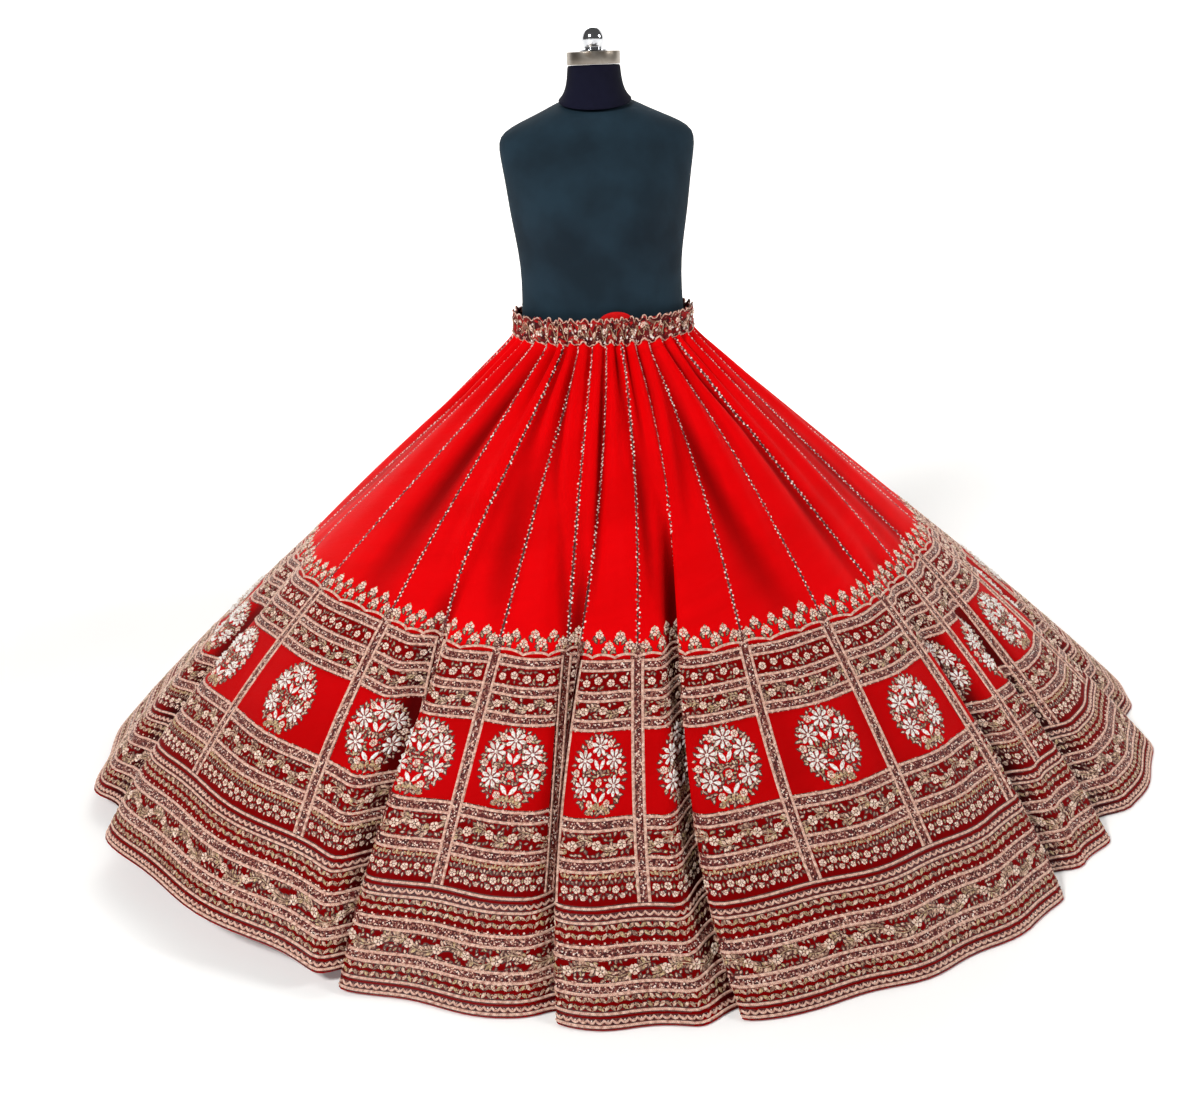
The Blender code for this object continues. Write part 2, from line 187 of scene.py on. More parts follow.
def pebbles(material, place, scale, channel, *stops, **given):
    """Cells about 1 / scale metres wide, each in one colour, and the distance from their middles."""
    cells = add_node(material, "ShaderNodeTexVoronoi", Vector=place, Scale=scale, **given)
    pick = add_node(material, "ShaderNodeSeparateColor", Color=cells.outputs["Color"])
    return blend_colours(material, pick.outputs[channel], *stops), cells.outputs["Distance"]


def bumpy(material, shader, height, depth, strength):
    """Bump on the shader from a height of 0 to 1, `depth` metres deep."""
    bump = add_node(material, "ShaderNodeBump", Strength=strength, Distance=depth, Height=height)
    feed(shader, "Normal", bump.outputs["Normal"])


def shape_with(piece, kind, **settings):
    """Adds a modifier to a piece and applies it."""
    clear_hands()
    piece.select_set(True)
    bpy.context.view_layer.objects.active = piece
    modifier = piece.modifiers.new(kind.lower(), kind)
    for name, value in settings.items():
        setattr(modifier, name, value)
    bpy.ops.object.modifier_apply(modifier=modifier.name)


print("dye('#c41e1e') in linear light:", [round(value, 3) for value in dye("#c41e1e")])

# %% [markdown]
# ## The camera, the floor and the light
#
# The camera stands about two and a half metres in front of the skirt, a little above the
# shoulders of the form, and looks down at it. Its place is written as a matrix, from the
# way that it looks and a small roll, so no target object is needed. The lens is a little
# longer than a phone's. The floor and the light stay plain, because the skirt is the
# subject. One lamp from the front left and a weaker one from the side show the folds, and
# a third behind lifts the far edge. The floor curves up behind like a studio's paper roll,
# and its paint glows, faintly by the skirt and more further off. That keeps it pale with
# weak lamps, and weak lamps from the side are what keeps a fold's two flanks apart. The
# sky is paper white where it is seen, but the light that it gives is a tenth of that.

# %% Camera
LENS = 39.18
CAMERA_PLACE = (-0.0218, -2.302, 1.183)
CAMERA_PITCH = np.radians(20.5)
CAMERA_ROLL = np.radians(2.3)
SENSOR_WIDTH = 36

ahead = np.array([0, np.cos(CAMERA_PITCH), -np.sin(CAMERA_PITCH)])
level = np.array([1.0, 0, 0])
under = np.cross(ahead, level)
right = np.cos(CAMERA_ROLL) * level + np.sin(CAMERA_ROLL) * under
up = np.sin(CAMERA_ROLL) * level - np.cos(CAMERA_ROLL) * under
clear_hands()
bpy.ops.object.camera_add()
camera = bpy.context.object
camera.name = "camera"
camera.data.lens = LENS
camera.data.sensor_width = SENSOR_WIDTH
turning = Matrix([[right[i], up[i], -ahead[i]] for i in range(3)]).to_4x4()
camera.matrix_world = Matrix.Translation(CAMERA_PLACE) @ turning
bpy.context.scene.camera = camera
bpy.context.scene.view_settings.view_transform = "Standard"
print("camera at", [round(value, 3) for value in camera.location])

# %% Floor and lamps
# Matt emulsion on a studio sweep: no shine, and a tone that hardly wanders over half a metre.
pale_floor, shader = new_finish("pale_floor_paint", Roughness=0.9, Emission_Strength=0.90)
place = in_space(pale_floor)
away = add_node(pale_floor, "ShaderNodeVectorMath", operation="LENGTH", Vector=place).outputs["Value"]
away = add_node(pale_floor, "ShaderNodeMapRange", Value=away, From_Min=1.3, From_Max=5.5).outputs["Result"]
feed(shader, "Emission Color", blend_colours(
    pale_floor, away, (0.0, "#6c6c6c"), (0.3, "#a8a8a8"), (0.75, "#fdfcfa")))
mottle = noise(pale_floor, place, 2.0, 3.0)
feed(shader, "Base Color", blend_colours(pale_floor, mottle, (0.3, "#f8f7f5"), (0.7, "#fcfbf9")))

FLOOR_SIDE, FLOOR_MIDDLE = 26, -6
SWEEP_HEIGHT, SWEEP_WIDTH = 9, 3.0
clear_hands()
bpy.ops.mesh.primitive_plane_add(size=FLOOR_SIDE, location=(0, FLOOR_MIDDLE, 0))
floor = bpy.context.object
floor.name = "floor"
bpy.ops.object.mode_set(mode="EDIT")
bpy.ops.mesh.select_all(action="DESELECT")
bpy.ops.object.mode_set(mode="OBJECT")
for edge in floor.data.edges:
    edge.select = all(floor.data.vertices[i].co.y > 0 for i in edge.vertices)
bpy.ops.object.mode_set(mode="EDIT")
bpy.ops.mesh.select_mode(type="EDGE")
bpy.ops.mesh.extrude_region_move(TRANSFORM_OT_translate={"value": (0, 0, SWEEP_HEIGHT)})
bpy.ops.object.mode_set(mode="OBJECT")
bpy.ops.object.transform_apply(location=True, rotation=True, scale=True)
shape_with(floor, "BEVEL", width=SWEEP_WIDTH, segments=16, limit_method="ANGLE")
bpy.ops.object.shade_smooth()
floor.data.materials.append(pale_floor)
floor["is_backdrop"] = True

# One row per lamp: name, place, what it looks at, side of the square, watts.
LAMPS = (
    ("key_lamp", (-1.9, -2.7, 3.0), (0.1, -0.2, 0.4), 0.7, 116),
    ("side_lamp", (3.6, -0.9, 2.4), (0.2, -0.1, 0.4), 1.0, 60),
    ("back_lamp", (-0.4, 3.4, 3.6), (0.0, 0.6, 0.3), 2.6, 60),
)
for name, place, target, side, watts in LAMPS:
    clear_hands()
    bpy.ops.object.light_add(type="AREA", location=place)
    lamp = bpy.context.object
    lamp.name = name
    lamp.data.size = side
    lamp.data.energy = watts
    aim = Vector(target) - lamp.location
    lamp.rotation_euler = aim.to_track_quat("-Z", "Y").to_euler()

sky = bpy.data.worlds.new("studio_sky")
sky.use_nodes = True
seen = add_node(sky, "ShaderNodeBackground", Color=dye("#ffffff"), Strength=1.0)
light = sky.node_tree.nodes["Background"]
feed(light, "Color", dye("#fbfaf8"))
feed(light, "Strength", 0.10)
direct = add_node(sky, "ShaderNodeLightPath").outputs["Is Camera Ray"]
lit, white = (node.outputs["Background"] for node in (light, seen))
either = add_node(sky, "ShaderNodeMixShader", direct, lit, white)
feed(sky.node_tree.nodes["World Output"], "Surface", either.outputs["Shader"])
bpy.context.scene.world = sky
print("lamps:", [row[0] for row in LAMPS])

# %% [markdown]
# ## The shape of the silk
#
# The whole skirt is one surface, and a place on it is named by two numbers: `u` counts
# kalis round the waist, 0 at the seam just right of the middle of the front, and `t` is
# the share of the way down from the waist seam to the hem. The sizes are the ones that
# the kalis of the frame were made from, so the fine silk lies on their solids.

# %% Sizes of the skirt
KALIS = 32
SILK = 0.0015             # thickness, in metres as every size here
WAIST_Z = 0.742
WAIST_HALF_WIDTH = 0.155
WAIST_HALF_DEPTH = 0.122
WAIST_TURN = 13.0         # azimuth of the seam u = 0 at the waist, in degrees
HEM_SHIFT = 0.011
HEM_LIFT = 0.002
WAIST_ROUNDING = 0.014    # share of the length over which the waist turns outwards
BELLY = 0.008             # outward bow of the skirt's side, and what brings its peak to 1
BELLY_PEAK = 9.48
PILLOW = 0.009            # how far each kali swells between its seams at the hem
GATHERS = 38
GATHER_AT_BAND = 0.0025
GATHER_SWELL = 0.0095
GATHER_START = 0.03
GATHER_FADE = 0.22
GATHER_WANDER = 0.9
SCALLOP = 0.0025          # how far the waist seam rises and dips with the gathers
SCALLOP_FADE = 0.05

# One row per seam or fold edge: its azimuth half way down and at the hem, in degrees,
# the hem's radius, and how far the hem is lifted off the floor.
FLARE = (
    # u,     middle, hem,    radius, lift
    (-16.0, -180.0, -180.0, 0.920, 0.000),
    (-13.0, -147.0, -145.0, 0.935, 0.000),
    (-10.0, -112.0, -106.0, 0.955, 0.000),
    (-8.0, -88.0, -80.0, 0.968, 0.012),
    (-7.0, -76.0, -66.0, 0.970, 0.040),
    (-6.0, -60.0, -50.0, 0.957, 0.060),
    (-5.0, -41.0, -32.5, 0.930, 0.040),
    (-4.45, -36.5, -28.3, 0.920, 0.020),
    (-3.55, -29.5, -27.0, 0.912, 0.002),
    (-3.0, -20.4, -20.2, 0.908, 0.000),
    (-2.1, -9.5, -8.9, 0.908, 0.000),
    (-1.05, -7.4, -7.7, 0.915, 0.000),
    (0.0, 2.4, 1.0, 0.922, 0.000),
    (0.33, 6.3, 4.8, 0.922, 0.000),
    (1.15, 9.4, 8.0, 0.922, 0.000),
    (2.0, 19.7, 19.4, 0.925, 0.000),
    (3.0, 35.9, 29.9, 0.930, 0.000),
    (4.0, 51.0, 41.0, 0.930, 0.000),
    (5.0, 62.0, 50.0, 0.910, 0.000),
    (6.0, 72.5, 60.0, 0.930, 0.000),
    (7.0, 83.0, 72.0, 0.968, 0.000),
    (8.0, 94.0, 85.0, 0.972, 0.000),
    (10.0, 115.0, 108.0, 0.955, 0.000),
    (13.0, 147.0, 144.0, 0.935, 0.000),
)
AZIMUTH_SOFTNESS = 0.3    # kalis over which the table's corners are rounded
HEM_SOFTNESS = 0.45

# One row per lengthwise fold: its valley, half width in kalis, depth at 0.85 of the
# length and at the hem, how far one edge laps over the valley, and where it starts.
FOLDS = (
    # u,    half, depth, hem,   lap,    start
    (0.76, 0.46, 0.066, 0.028, 0.055, 0.10),
    (-1.55, 0.72, 0.048, 0.024, 0.044, 0.15),
    (-4.00, 0.52, 0.055, 0.036, 0.048, 0.35),
    (4.50, 0.42, 0.048, 0.044, -0.045, 0.40),
    (5.75, 0.42, 0.040, 0.040, -0.038, 0.45),
    (7.60, 0.45, 0.035, 0.035, -0.020, 0.45),
    (-7.00, 0.45, 0.040, 0.030, 0.030, 0.40),
    (10.10, 0.55, 0.050, 0.045, 0.020, 0.30),
    (13.20, 0.50, 0.045, 0.040, -0.020, 0.30),
    (16.30, 0.55, 0.050, 0.045, 0.020, 0.30),
    (19.60, 0.50, 0.045, 0.040, -0.020, 0.30),
    (22.60, 0.55, 0.050, 0.045, 0.020, 0.30),
)
FOLD_FULL = 0.85          # share of the length at which a fold is deepest

# The path of the cloth across one fold, from one side (-1) to the lapping side (1).
FOLD_PATH = (
    # place, across, out
    (-1.00, 0.00, 0.00),
    (-0.80, 0.08, 0.03),
    (-0.58, 0.22, -0.42),
    (-0.36, 0.40, -0.90),
    (-0.10, 0.72, -1.05),
    (0.15, 0.88, -0.88),
    (0.45, 0.58, -0.46),
    (0.78, -0.24, 0.00),
    (1.00, -0.26, 0.16),
    (1.40, -0.10, 0.08),
    (1.80, 0.00, 0.00),
)
PATH_SOFTNESS = 0.15

# Soft creases that the solids leave out. One row each: where it lies at its top and at
# its foot, where it starts and ends down the length, half width in kalis, depth.
CREASES = (
    # u top, u foot, from, to,   half, depth
    (-3.15, -1.88, 0.03, 0.58, 0.17, 0.0140),
    (-2.45, -2.55, 0.04, 0.54, 0.22, -0.0070),
    (-1.28, -0.62, 0.05, 0.56, 0.20, 0.0145),
    (-0.82, 0.05, 0.02, 0.54, 0.18, -0.0080),
    (-0.22, 0.42, 0.02, 0.52, 0.18, 0.0150),
    (0.60, 1.05, 0.02, 0.42, 0.22, -0.0080),
    (1.80, 1.40, 0.02, 0.44, 0.20, 0.0130),
    (2.50, 2.78, 0.02, 0.36, 0.25, -0.0090),
    (2.08, 2.72, 0.10, 0.58, 0.24, 0.0145),
    (3.18, 4.10, 0.01, 0.20, 0.30, 0.0085),
    (4.60, 5.05, 0.06, 0.54, 0.28, -0.0090),
    (3.92, 3.80, 0.14, 0.54, 0.22, 0.0090),
    (5.80, 5.90, 0.03, 0.56, 0.24, 0.0095),
    (6.70, 6.55, 0.03, 0.46, 0.26, -0.0080),
    (-3.70, -3.20, 0.03, 0.50, 0.22, 0.0100),
    (-4.70, -4.05, 0.08, 0.46, 0.30, -0.0100),
    (-5.40, -5.45, 0.04, 0.58, 0.22, 0.0100),
    (-6.60, -6.35, 0.03, 0.44, 0.26, -0.0085),
    (7.60, 7.75, 0.03, 0.60, 0.22, 0.0105),
    (8.55, 8.80, 0.04, 0.48, 0.26, -0.0080),
    (9.60, 9.45, 0.03, 0.62, 0.22, 0.0110),
    (11.50, 11.75, 0.05, 0.56, 0.24, 0.0095),
    (12.60, 12.45, 0.03, 0.46, 0.28, -0.0090),
    (14.35, 14.70, 0.03, 0.62, 0.22, 0.0115),
    (15.45, 15.30, 0.05, 0.50, 0.26, -0.0080),
    (-7.75, -7.55, 0.03, 0.56, 0.22, 0.0095),
    (-8.70, -8.45, 0.04, 0.50, 0.26, -0.0085),
    (-10.45, -10.75, 0.03, 0.62, 0.22, 0.0110),
    (-11.60, -11.35, 0.05, 0.48, 0.28, -0.0080),
    (-13.40, -13.15, 0.03, 0.60, 0.22, 0.0105),
    (-14.60, -14.80, 0.04, 0.52, 0.26, -0.0090),
)
print(f"{KALIS} kalis, {GATHERS} gathers, {len(FOLDS)} long folds, {len(CREASES)} soft creases")

# %% The surface of the silk
def soft_table(rows, column, place, softness, turn=0.0):
    """One column of a table that runs once round the skirt, read at `place` and softened."""
    at = np.array([row[0] for row in rows])
    value = np.array([row[column] for row in rows])
    at = np.concatenate([at - KALIS, at, at + KALIS])
    value = np.concatenate([value - turn, value, value + turn])
    rounds = np.floor((place + KALIS / 2) / KALIS)
    steps = np.linspace(-softness, softness, 9)
    mean = sum(np.interp(place - rounds * KALIS + step, at, value) for step in steps) / 9
    return mean + rounds * turn


def fold_path(column, place):
    at = [row[0] for row in FOLD_PATH]
    value = [row[column] for row in FOLD_PATH]
    steps = np.linspace(-PATH_SOFTNESS, PATH_SOFTNESS, 7)
    return sum(np.interp(place + step, at, value, left=0, right=0) for step in steps) / 7


def round_place(u, middle=0):
    """How far `u` is from `middle` in kalis, the short way round."""
    return (u - middle + KALIS / 2) % KALIS - KALIS / 2


def ease(share):
    """A share of 0 to 1 that starts and ends gently."""
    return share * share * (3 - 2 * share)


def fold_travel(u, t):
    """How far the folds move the cloth: sideways and outwards."""
    across, out = 0 * u, 0 * u
    for at, half, depth, hem, lap, start in FOLDS:
        place = round_place(u, at)
        growth = ease(np.clip((t - start) / (FOLD_FULL - start), 0, 1))
        below = np.clip((t - FOLD_FULL) / (1 - FOLD_FULL), 0, 1)
        side = 1 if lap >= 0 else -1
        across = across + lap * growth * fold_path(1, side * place / half)
        out = out + growth * (depth + (hem - depth) * below) * fold_path(2, side * place / half)
    return across, out


def crease_depth(u, t):
    """Soft troughs and ridges, each a bell across and fading at both ends."""
    inward = 0 * u
    for top, foot, start, end, half, depth in CREASES:
        along = np.clip((t - start) / (end - start), 0, 1)
        place = round_place(u, top + (foot - top) * along)
        inward = inward + depth * np.sin(np.pi * along) ** 0.8 * np.exp(-((place / half) ** 2))
    return inward


def waist_radius(azimuth):
    return 1 / np.hypot(np.sin(azimuth) / WAIST_HALF_WIDTH, np.cos(azimuth) / WAIST_HALF_DEPTH)


def gather_phase(u):
    return 2 * np.pi * GATHERS * u / KALIS + GATHER_WANDER * np.sin(2 * np.pi * u / 4)


def spread(t):
    bent = [x - WAIST_ROUNDING * (1 - np.exp(-x / WAIST_ROUNDING)) for x in (t, 1.0)]
    return bent[0] / bent[1]


def silk_point(u, t):
    """The middle of the silk at kali place `u` and share `t` of the length."""
    at_waist = 360 / KALIS * u + WAIST_TURN
    at_middle = soft_table(FLARE, 1, u, AZIMUTH_SOFTNESS, 360)
    at_hem = soft_table(FLARE, 2, u, AZIMUTH_SOFTNESS, 360)
    turned = at_waist * (2 * t - 1) * (t - 1) - at_middle * 4 * t * (t - 1) + at_hem * t * (2 * t - 1)
    azimuth = np.radians(turned)
    reach = spread(t)
    radius = waist_radius(azimuth)
    radius = radius + (soft_table(FLARE, 3, u, HEM_SOFTNESS) - radius) * reach
    swell = GATHER_AT_BAND + GATHER_SWELL * (1 - np.exp(-t / GATHER_START))
    radius = radius + swell * np.exp(-t / GATHER_FADE) * np.cos(gather_phase(u))
    radius = radius + PILLOW * t * (1 - np.cos(2 * np.pi * u)) / 2 + BELLY * t**3 * (1 - t) * BELLY_PEAK
    across, out = fold_travel(u, t)
    radius = radius + out - crease_depth(u, t)
    scallop = SCALLOP * np.cos(gather_phase(u)) * np.exp(-t / SCALLOP_FADE)
    hem_z = HEM_LIFT + soft_table(FLARE, 4, u, HEM_SOFTNESS)
    x = HEM_SHIFT * reach + radius * np.sin(azimuth) + across * np.cos(azimuth)
    y = -radius * np.cos(azimuth) + across * np.sin(azimuth)
    return np.stack([x, y, WAIST_Z + (hem_z - WAIST_Z) * t + scallop], -1)


def unit(vector):
    return vector / np.linalg.norm(vector, axis=-1, keepdims=True)


def quads_between(at):
    """The quads of a grid of point numbers."""
    return np.stack([at[:-1, :-1], at[:-1, 1:], at[1:, 1:], at[1:, :-1]], -1).reshape(-1, 4)


# %% [markdown]
# ## One grid to carry everything
#
# A cloth is worked out once, on a grid of columns and rows. The sheet's mesh is that
# grid, and every cord, bead and petal is placed by reading the same grid between its
# lines. So nothing floats off the cloth or sinks into it, however deep the fold. The
# silk's columns stand closer together in the folds, where the cloth turns. Distance
# along the cloth is measured on the grid too, so a motif keeps its size on a steep fold.

# %% A cloth that can be stitched on
class Cloth:
    """A ring of cloth as a grid: places u round it (-16 to 16) and t down it (0 to 1)."""

    def __init__(self, surface, u, t, thickness):
        self.u, self.t, self.thickness = u, t, thickness
        all_u, all_t = np.meshgrid(u, t)
        nudge = 1e-4
        self.points = surface(all_u, all_t)
        over = surface(all_u + nudge, all_t) - surface(all_u - nudge, all_t)
        down = surface(all_u, np.minimum(all_t + nudge, 1)) - surface(all_u, np.maximum(all_t - nudge, 0))
        self.out = unit(np.cross(down, over))
        steps = np.linalg.norm(np.diff(self.points, axis=1), axis=-1)
        self.girth = np.concatenate([np.zeros((len(t), 1)), np.cumsum(steps, axis=1)], axis=1)
        self.length = np.linalg.norm(np.diff(self.points, axis=0), axis=-1).sum(axis=0).mean()
        corner = np.cross(np.diff(self.points, axis=1)[:-1], np.diff(self.points, axis=0)[:, :-1])
        self.area = np.linalg.norm(corner, axis=-1).sum()

    def read(self, table, u, t):
        """The grid's `table` at (u, t), between its lines."""
        column = np.interp(round_place(u), self.u, np.arange(len(self.u)))
        row = np.interp(t, self.t, np.arange(len(self.t)))
        c = np.minimum(column.astype(int), len(self.u) - 2)
        r = np.minimum(row.astype(int), len(self.t) - 2)
        right, down = (column - c)[..., None], (row - r)[..., None]
        upper = (1 - right) * table[r, c] + right * table[r, c + 1]
        lower = (1 - right) * table[r + 1, c] + right * table[r + 1, c + 1]
        return (1 - down) * upper + down * lower

    def outward(self, u, t):
        return unit(self.read(self.out, u, t))

    def above(self, u, t, height):
        """The point `height` metres above the outer face."""
        u, t, height = np.broadcast_arrays(u, t, height)
        return self.read(self.points, u, t) + self.outward(u, t) * (self.thickness / 2 + height)[..., None]

    def girth_at(self, t):
        """Distance round the cloth from u = -16 to each column, at t."""
        row = np.interp(t, self.t, np.arange(len(self.t)))
        r = min(int(row), len(self.t) - 2)
        return self.girth[r] + (row - r) * (self.girth[r + 1] - self.girth[r])

    def sideways(self, u, t, distance):
        """The place `distance` metres along the cloth from `u`, at t."""
        girth = self.girth_at(t)
        start = np.interp(round_place(u), self.u, girth)
        return np.interp((start + distance) % girth[-1], girth, self.u)

    def width(self, low, high, t):
        """Distance along the cloth between two places less than one round apart."""
        girth = self.girth_at(t)
        ends = [np.interp(round_place(u), self.u, girth) for u in (low, high)]
        return (ends[1] - ends[0]) % girth[-1]

    def mesh(self):
        """Points, quads and UV in metres of the closed shell with its own thickness."""
        columns = len(self.u) - 1
        lift = self.out * self.thickness / 2
        outer = (self.points + lift)[:, :columns].reshape(-1, 3)
        inner = (self.points - lift)[:, :columns].reshape(-1, 3)
        at = np.arange(len(self.t) * columns).reshape(len(self.t), columns)
        at = np.concatenate([at, at[:, :1]], axis=1)
        wall = np.stack([at[:-1, :-1], at[1:, :-1], at[1:, 1:], at[:-1, 1:]], -1).reshape(-1, 4)
        top = np.stack([at[0, :-1], at[0, 1:], at[0, 1:] + len(outer), at[0, :-1] + len(outer)], -1)
        foot = np.stack([at[-1, 1:], at[-1, :-1], at[-1, :-1] + len(outer), at[-1, 1:] + len(outer)], -1)
        metres = np.stack([self.girth[:, :columns], np.broadcast_to(
            self.t[:, None] * self.length, (len(self.t), columns))], -1).reshape(-1, 2)
        quads = np.concatenate([wall, wall[:, ::-1] + len(outer), top, foot])
        return np.concatenate([outer, inner]), quads, np.concatenate([metres, metres])


# %% The grid of the silk
COLUMNS_IN_A_KALI = 14
ROWS = 74
ROW_CROWDING = 1.08       # rows stand a little closer together at the waist
FOLD_CROWDING = 1.3       # how much denser the columns are in a fold, and how widely


def column_places():
    """Column places from -16 to 16, closer together near each fold."""
    fine = np.linspace(-KALIS / 2, KALIS / 2, 6401)
    density = np.ones_like(fine)
    for at, half, *_ in FOLDS:
        density += FOLD_CROWDING * np.exp(-((round_place(fine, at) / (FOLD_CROWDING * half)) ** 2))
    total = np.concatenate([[0], np.cumsum((density[1:] + density[:-1]) / 2)])
    wanted = np.linspace(0, total[-1], KALIS * COLUMNS_IN_A_KALI + 1)
    return np.interp(wanted, total, fine)


silk = Cloth(silk_point, column_places(), np.linspace(0, 1, ROWS + 1) ** ROW_CROWDING, SILK)
print(f"hem {silk.girth[-1, -1]:.2f} m round, length {silk.length:.3f} m, silk {silk.area:.2f} m2")

# %% [markdown]
# ## Turning arrays into pieces
#
# A sheet with tens of thousands of points is quickest as arrays that are handed to
# Blender in one go. The helper also gives each piece its UV map, in metres, so that a
# pattern can follow a cord or a strip, and it hangs the piece on the frame's one body.

# %% A piece from arrays
def make_piece(name, points, faces, finish, uv):
    """`faces` is a list of arrays, one of triangles and/or one of quads."""
    mesh = bpy.data.meshes.new(name)
    sizes = np.concatenate([np.full(len(part), part.shape[1]) for part in faces])
    corners = np.concatenate([part.reshape(-1) for part in faces]).astype(np.int32)
    mesh.vertices.add(len(points))
    mesh.vertices.foreach_set("co", np.asarray(points, np.float32).ravel())
    mesh.loops.add(len(corners))
    mesh.loops.foreach_set("vertex_index", corners)
    mesh.polygons.add(len(sizes))
    mesh.polygons.foreach_set("loop_start", (np.cumsum(sizes) - sizes).astype(np.int32))
    mesh.polygons.foreach_set("loop_total", sizes.astype(np.int32))
    mesh.update(calc_edges=True)
    mesh.validate()
    layer = mesh.uv_layers.new(name="cloth_metres")
    layer.data.foreach_set("uv", np.asarray(uv, np.float32)[corners].ravel())
    mesh.shade_smooth()
    mesh.materials.append(finish)
    piece = bpy.data.objects.new(name, mesh)
    bpy.context.scene.collection.objects.link(piece)
    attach(piece, "root")
    print(f"{name}: {int((sizes - 2).sum())} triangles")
    return piece


# %% [markdown]
# ## The silk
#
# The cloth could be draped by simulation, but a gathered skirt this full is steered
# instead: its folds are where the tables put them. The sheet gets its true thickness as an
# outer wall, an inner wall and a turned edge at the waist and the hem. The columns at
# u = -16 and u = 16 are the same line, so the ring is closed there.
#
# The finish is a low-lustre red silk. Its colour wanders a little, as piece-dyed cloth
# does, and a fine weave and soft crumples break the shine. The colour also carries painted
# shade: it is darker deep in a fold, and between the rows of the border's stitches. Each
# point of the sheet carries how deep it lies in a fold, and the painted shade reads it.

# %% Red silk
# Piece-dyed silk in a close weave: a low, even lustre and no glints. Its threads are 0.1 mm
# apart. The weave is drawn with a repeat of 1 mm (0.314 / 320), because the real one is too
# fine to see, and the cloth crumples over about 40 mm (1 / 24).
red_silk, shader = new_finish("red_silk", Roughness=0.55, Specular_IOR_Level=0.025)
along = along_cloth(red_silk)
cloud = noise(red_silk, along, 4.0, 4.0)
shade = blend_colours(red_silk, cloud, (0.3, "#de0003"), (0.7, "#f00006"))
down = add_node(red_silk, "ShaderNodeSeparateXYZ", Vector=along).outputs["Y"]
# Painted shade of the stitches: between the rows of stitching the ground is darkened, and the squares much
# less.
painted_stitch_shade = blend_colours(
    red_silk, reckon(red_silk, "DIVIDE", down, silk.length),
    (0.515, "#ffffff"), (0.530, "#928282"), (0.618, "#908080"), (0.630, "#dadada"), (0.738, "#d4d4d4"),
    (0.750, "#8e7e7e"), (0.855, "#8a7a7a"), (0.985, "#867676"), (0.998, "#b4b4b4"),
)
# Painted shade: the colour darkens with how deep the point lies in a fold.
dip = add_node(red_silk, "ShaderNodeAttribute", attribute_name="painted_fold_shade").outputs["Fac"]
painted_fold_shade = blend_colours(
    red_silk, dip, (0.0, "#ffffff"), (0.25, "#e0d0d0"), (0.6, "#a48080"), (1.0, "#6c4848"))
feed(shader, "Base Color", dimmed(red_silk, dimmed(red_silk, shade, painted_stitch_shade), painted_fold_shade))
warp, weft = (ribs(red_silk, along, 320.0, bands_direction=way) for way in "XY")
weave = reckon(red_silk, "MULTIPLY", warp, weft)
crumple = noise(red_silk, along, 24.0, 3.0, Distortion=0.6)
bumpy(red_silk, shader, reckon(red_silk, "MULTIPLY_ADD", weave, 0.12, crumple), 0.0022, 0.55)

# %% The sheet of silk
def valley_depth(cloth, reach=1.1, full=0.020):
    """How deep each grid point lies in a fold, 0 to 1, from the mean radius about it."""
    radius = np.hypot(cloth.points[..., 0], cloth.points[..., 1])
    mean = np.zeros_like(radius)
    offsets = np.linspace(-reach, reach, 23)
    for offset in offsets:
        column = np.interp(round_place(cloth.u + offset), cloth.u, np.arange(len(cloth.u)))
        low = np.minimum(column.astype(int), len(cloth.u) - 2)
        mean += (radius[:, low] + (column - low) * (radius[:, low + 1] - radius[:, low])) / len(offsets)
    return np.clip((mean - radius) / full, 0, 1)


points, quads, metres = silk.mesh()
skirt = make_piece("skirt_silk", points, [quads], red_silk, metres)
# Painted shade: how deep each point lies in a fold is kept on the sheet, and the silk's colour darkens by
# it.
depth = valley_depth(silk)[:, :-1].ravel()
both_walls = np.tile(depth, 2).astype(np.float32)
skirt.data.attributes.new("painted_fold_shade", "FLOAT", "POINT").data.foreach_set("value", both_walls)
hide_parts(*KALI_NODES)

# %% [markdown]
# ## Thread, cord and bead
#
# The border is zardozi work: cords couched down in lines, beads and short wire filling the
# space between two cords, and flowers and leaves built up in thread. Each kind is one
# basket below, which collects points and faces as the needlework goes on and becomes one
# joined piece at the end. Thousands of separate objects would be slow to handle.
#
# A cord is a low half-round strip along a path of grid places. A small motif is a shape
# of a few faces, drawn flat in units of its own half size, and laid along the cloth: its
# sideways reach is measured as girth and its downward reach as length.

# %% Baskets for the needlework
BASKETS = {}


def drop(basket, points, faces, along=None):
    """Adds points and faces to a basket; `along` gives each point its UV in metres."""
    held = BASKETS.setdefault(basket, {"points": [], "faces": [], "along": [], "count": 0})
    held["faces"].append(np.asarray(faces) + held["count"])
    held["points"].append(points)
    held["along"].append(points[:, :2] if along is None else along)
    held["count"] += len(points)


CORD_SHAPE = ((-1.0, -0.10), (-0.62, 0.80), (0.62, 0.80), (1.0, -0.10))
STEM_SHAPE = ((-1.0, -0.10), (0.0, 0.90), (1.0, -0.10))
FLAT_SHAPE = ((-1.0, 0.0), (0.0, 0.25), (1.0, 0.0))
LAST_LEVEL = 0.9995       # nothing is sewn past the turned edge of the hem


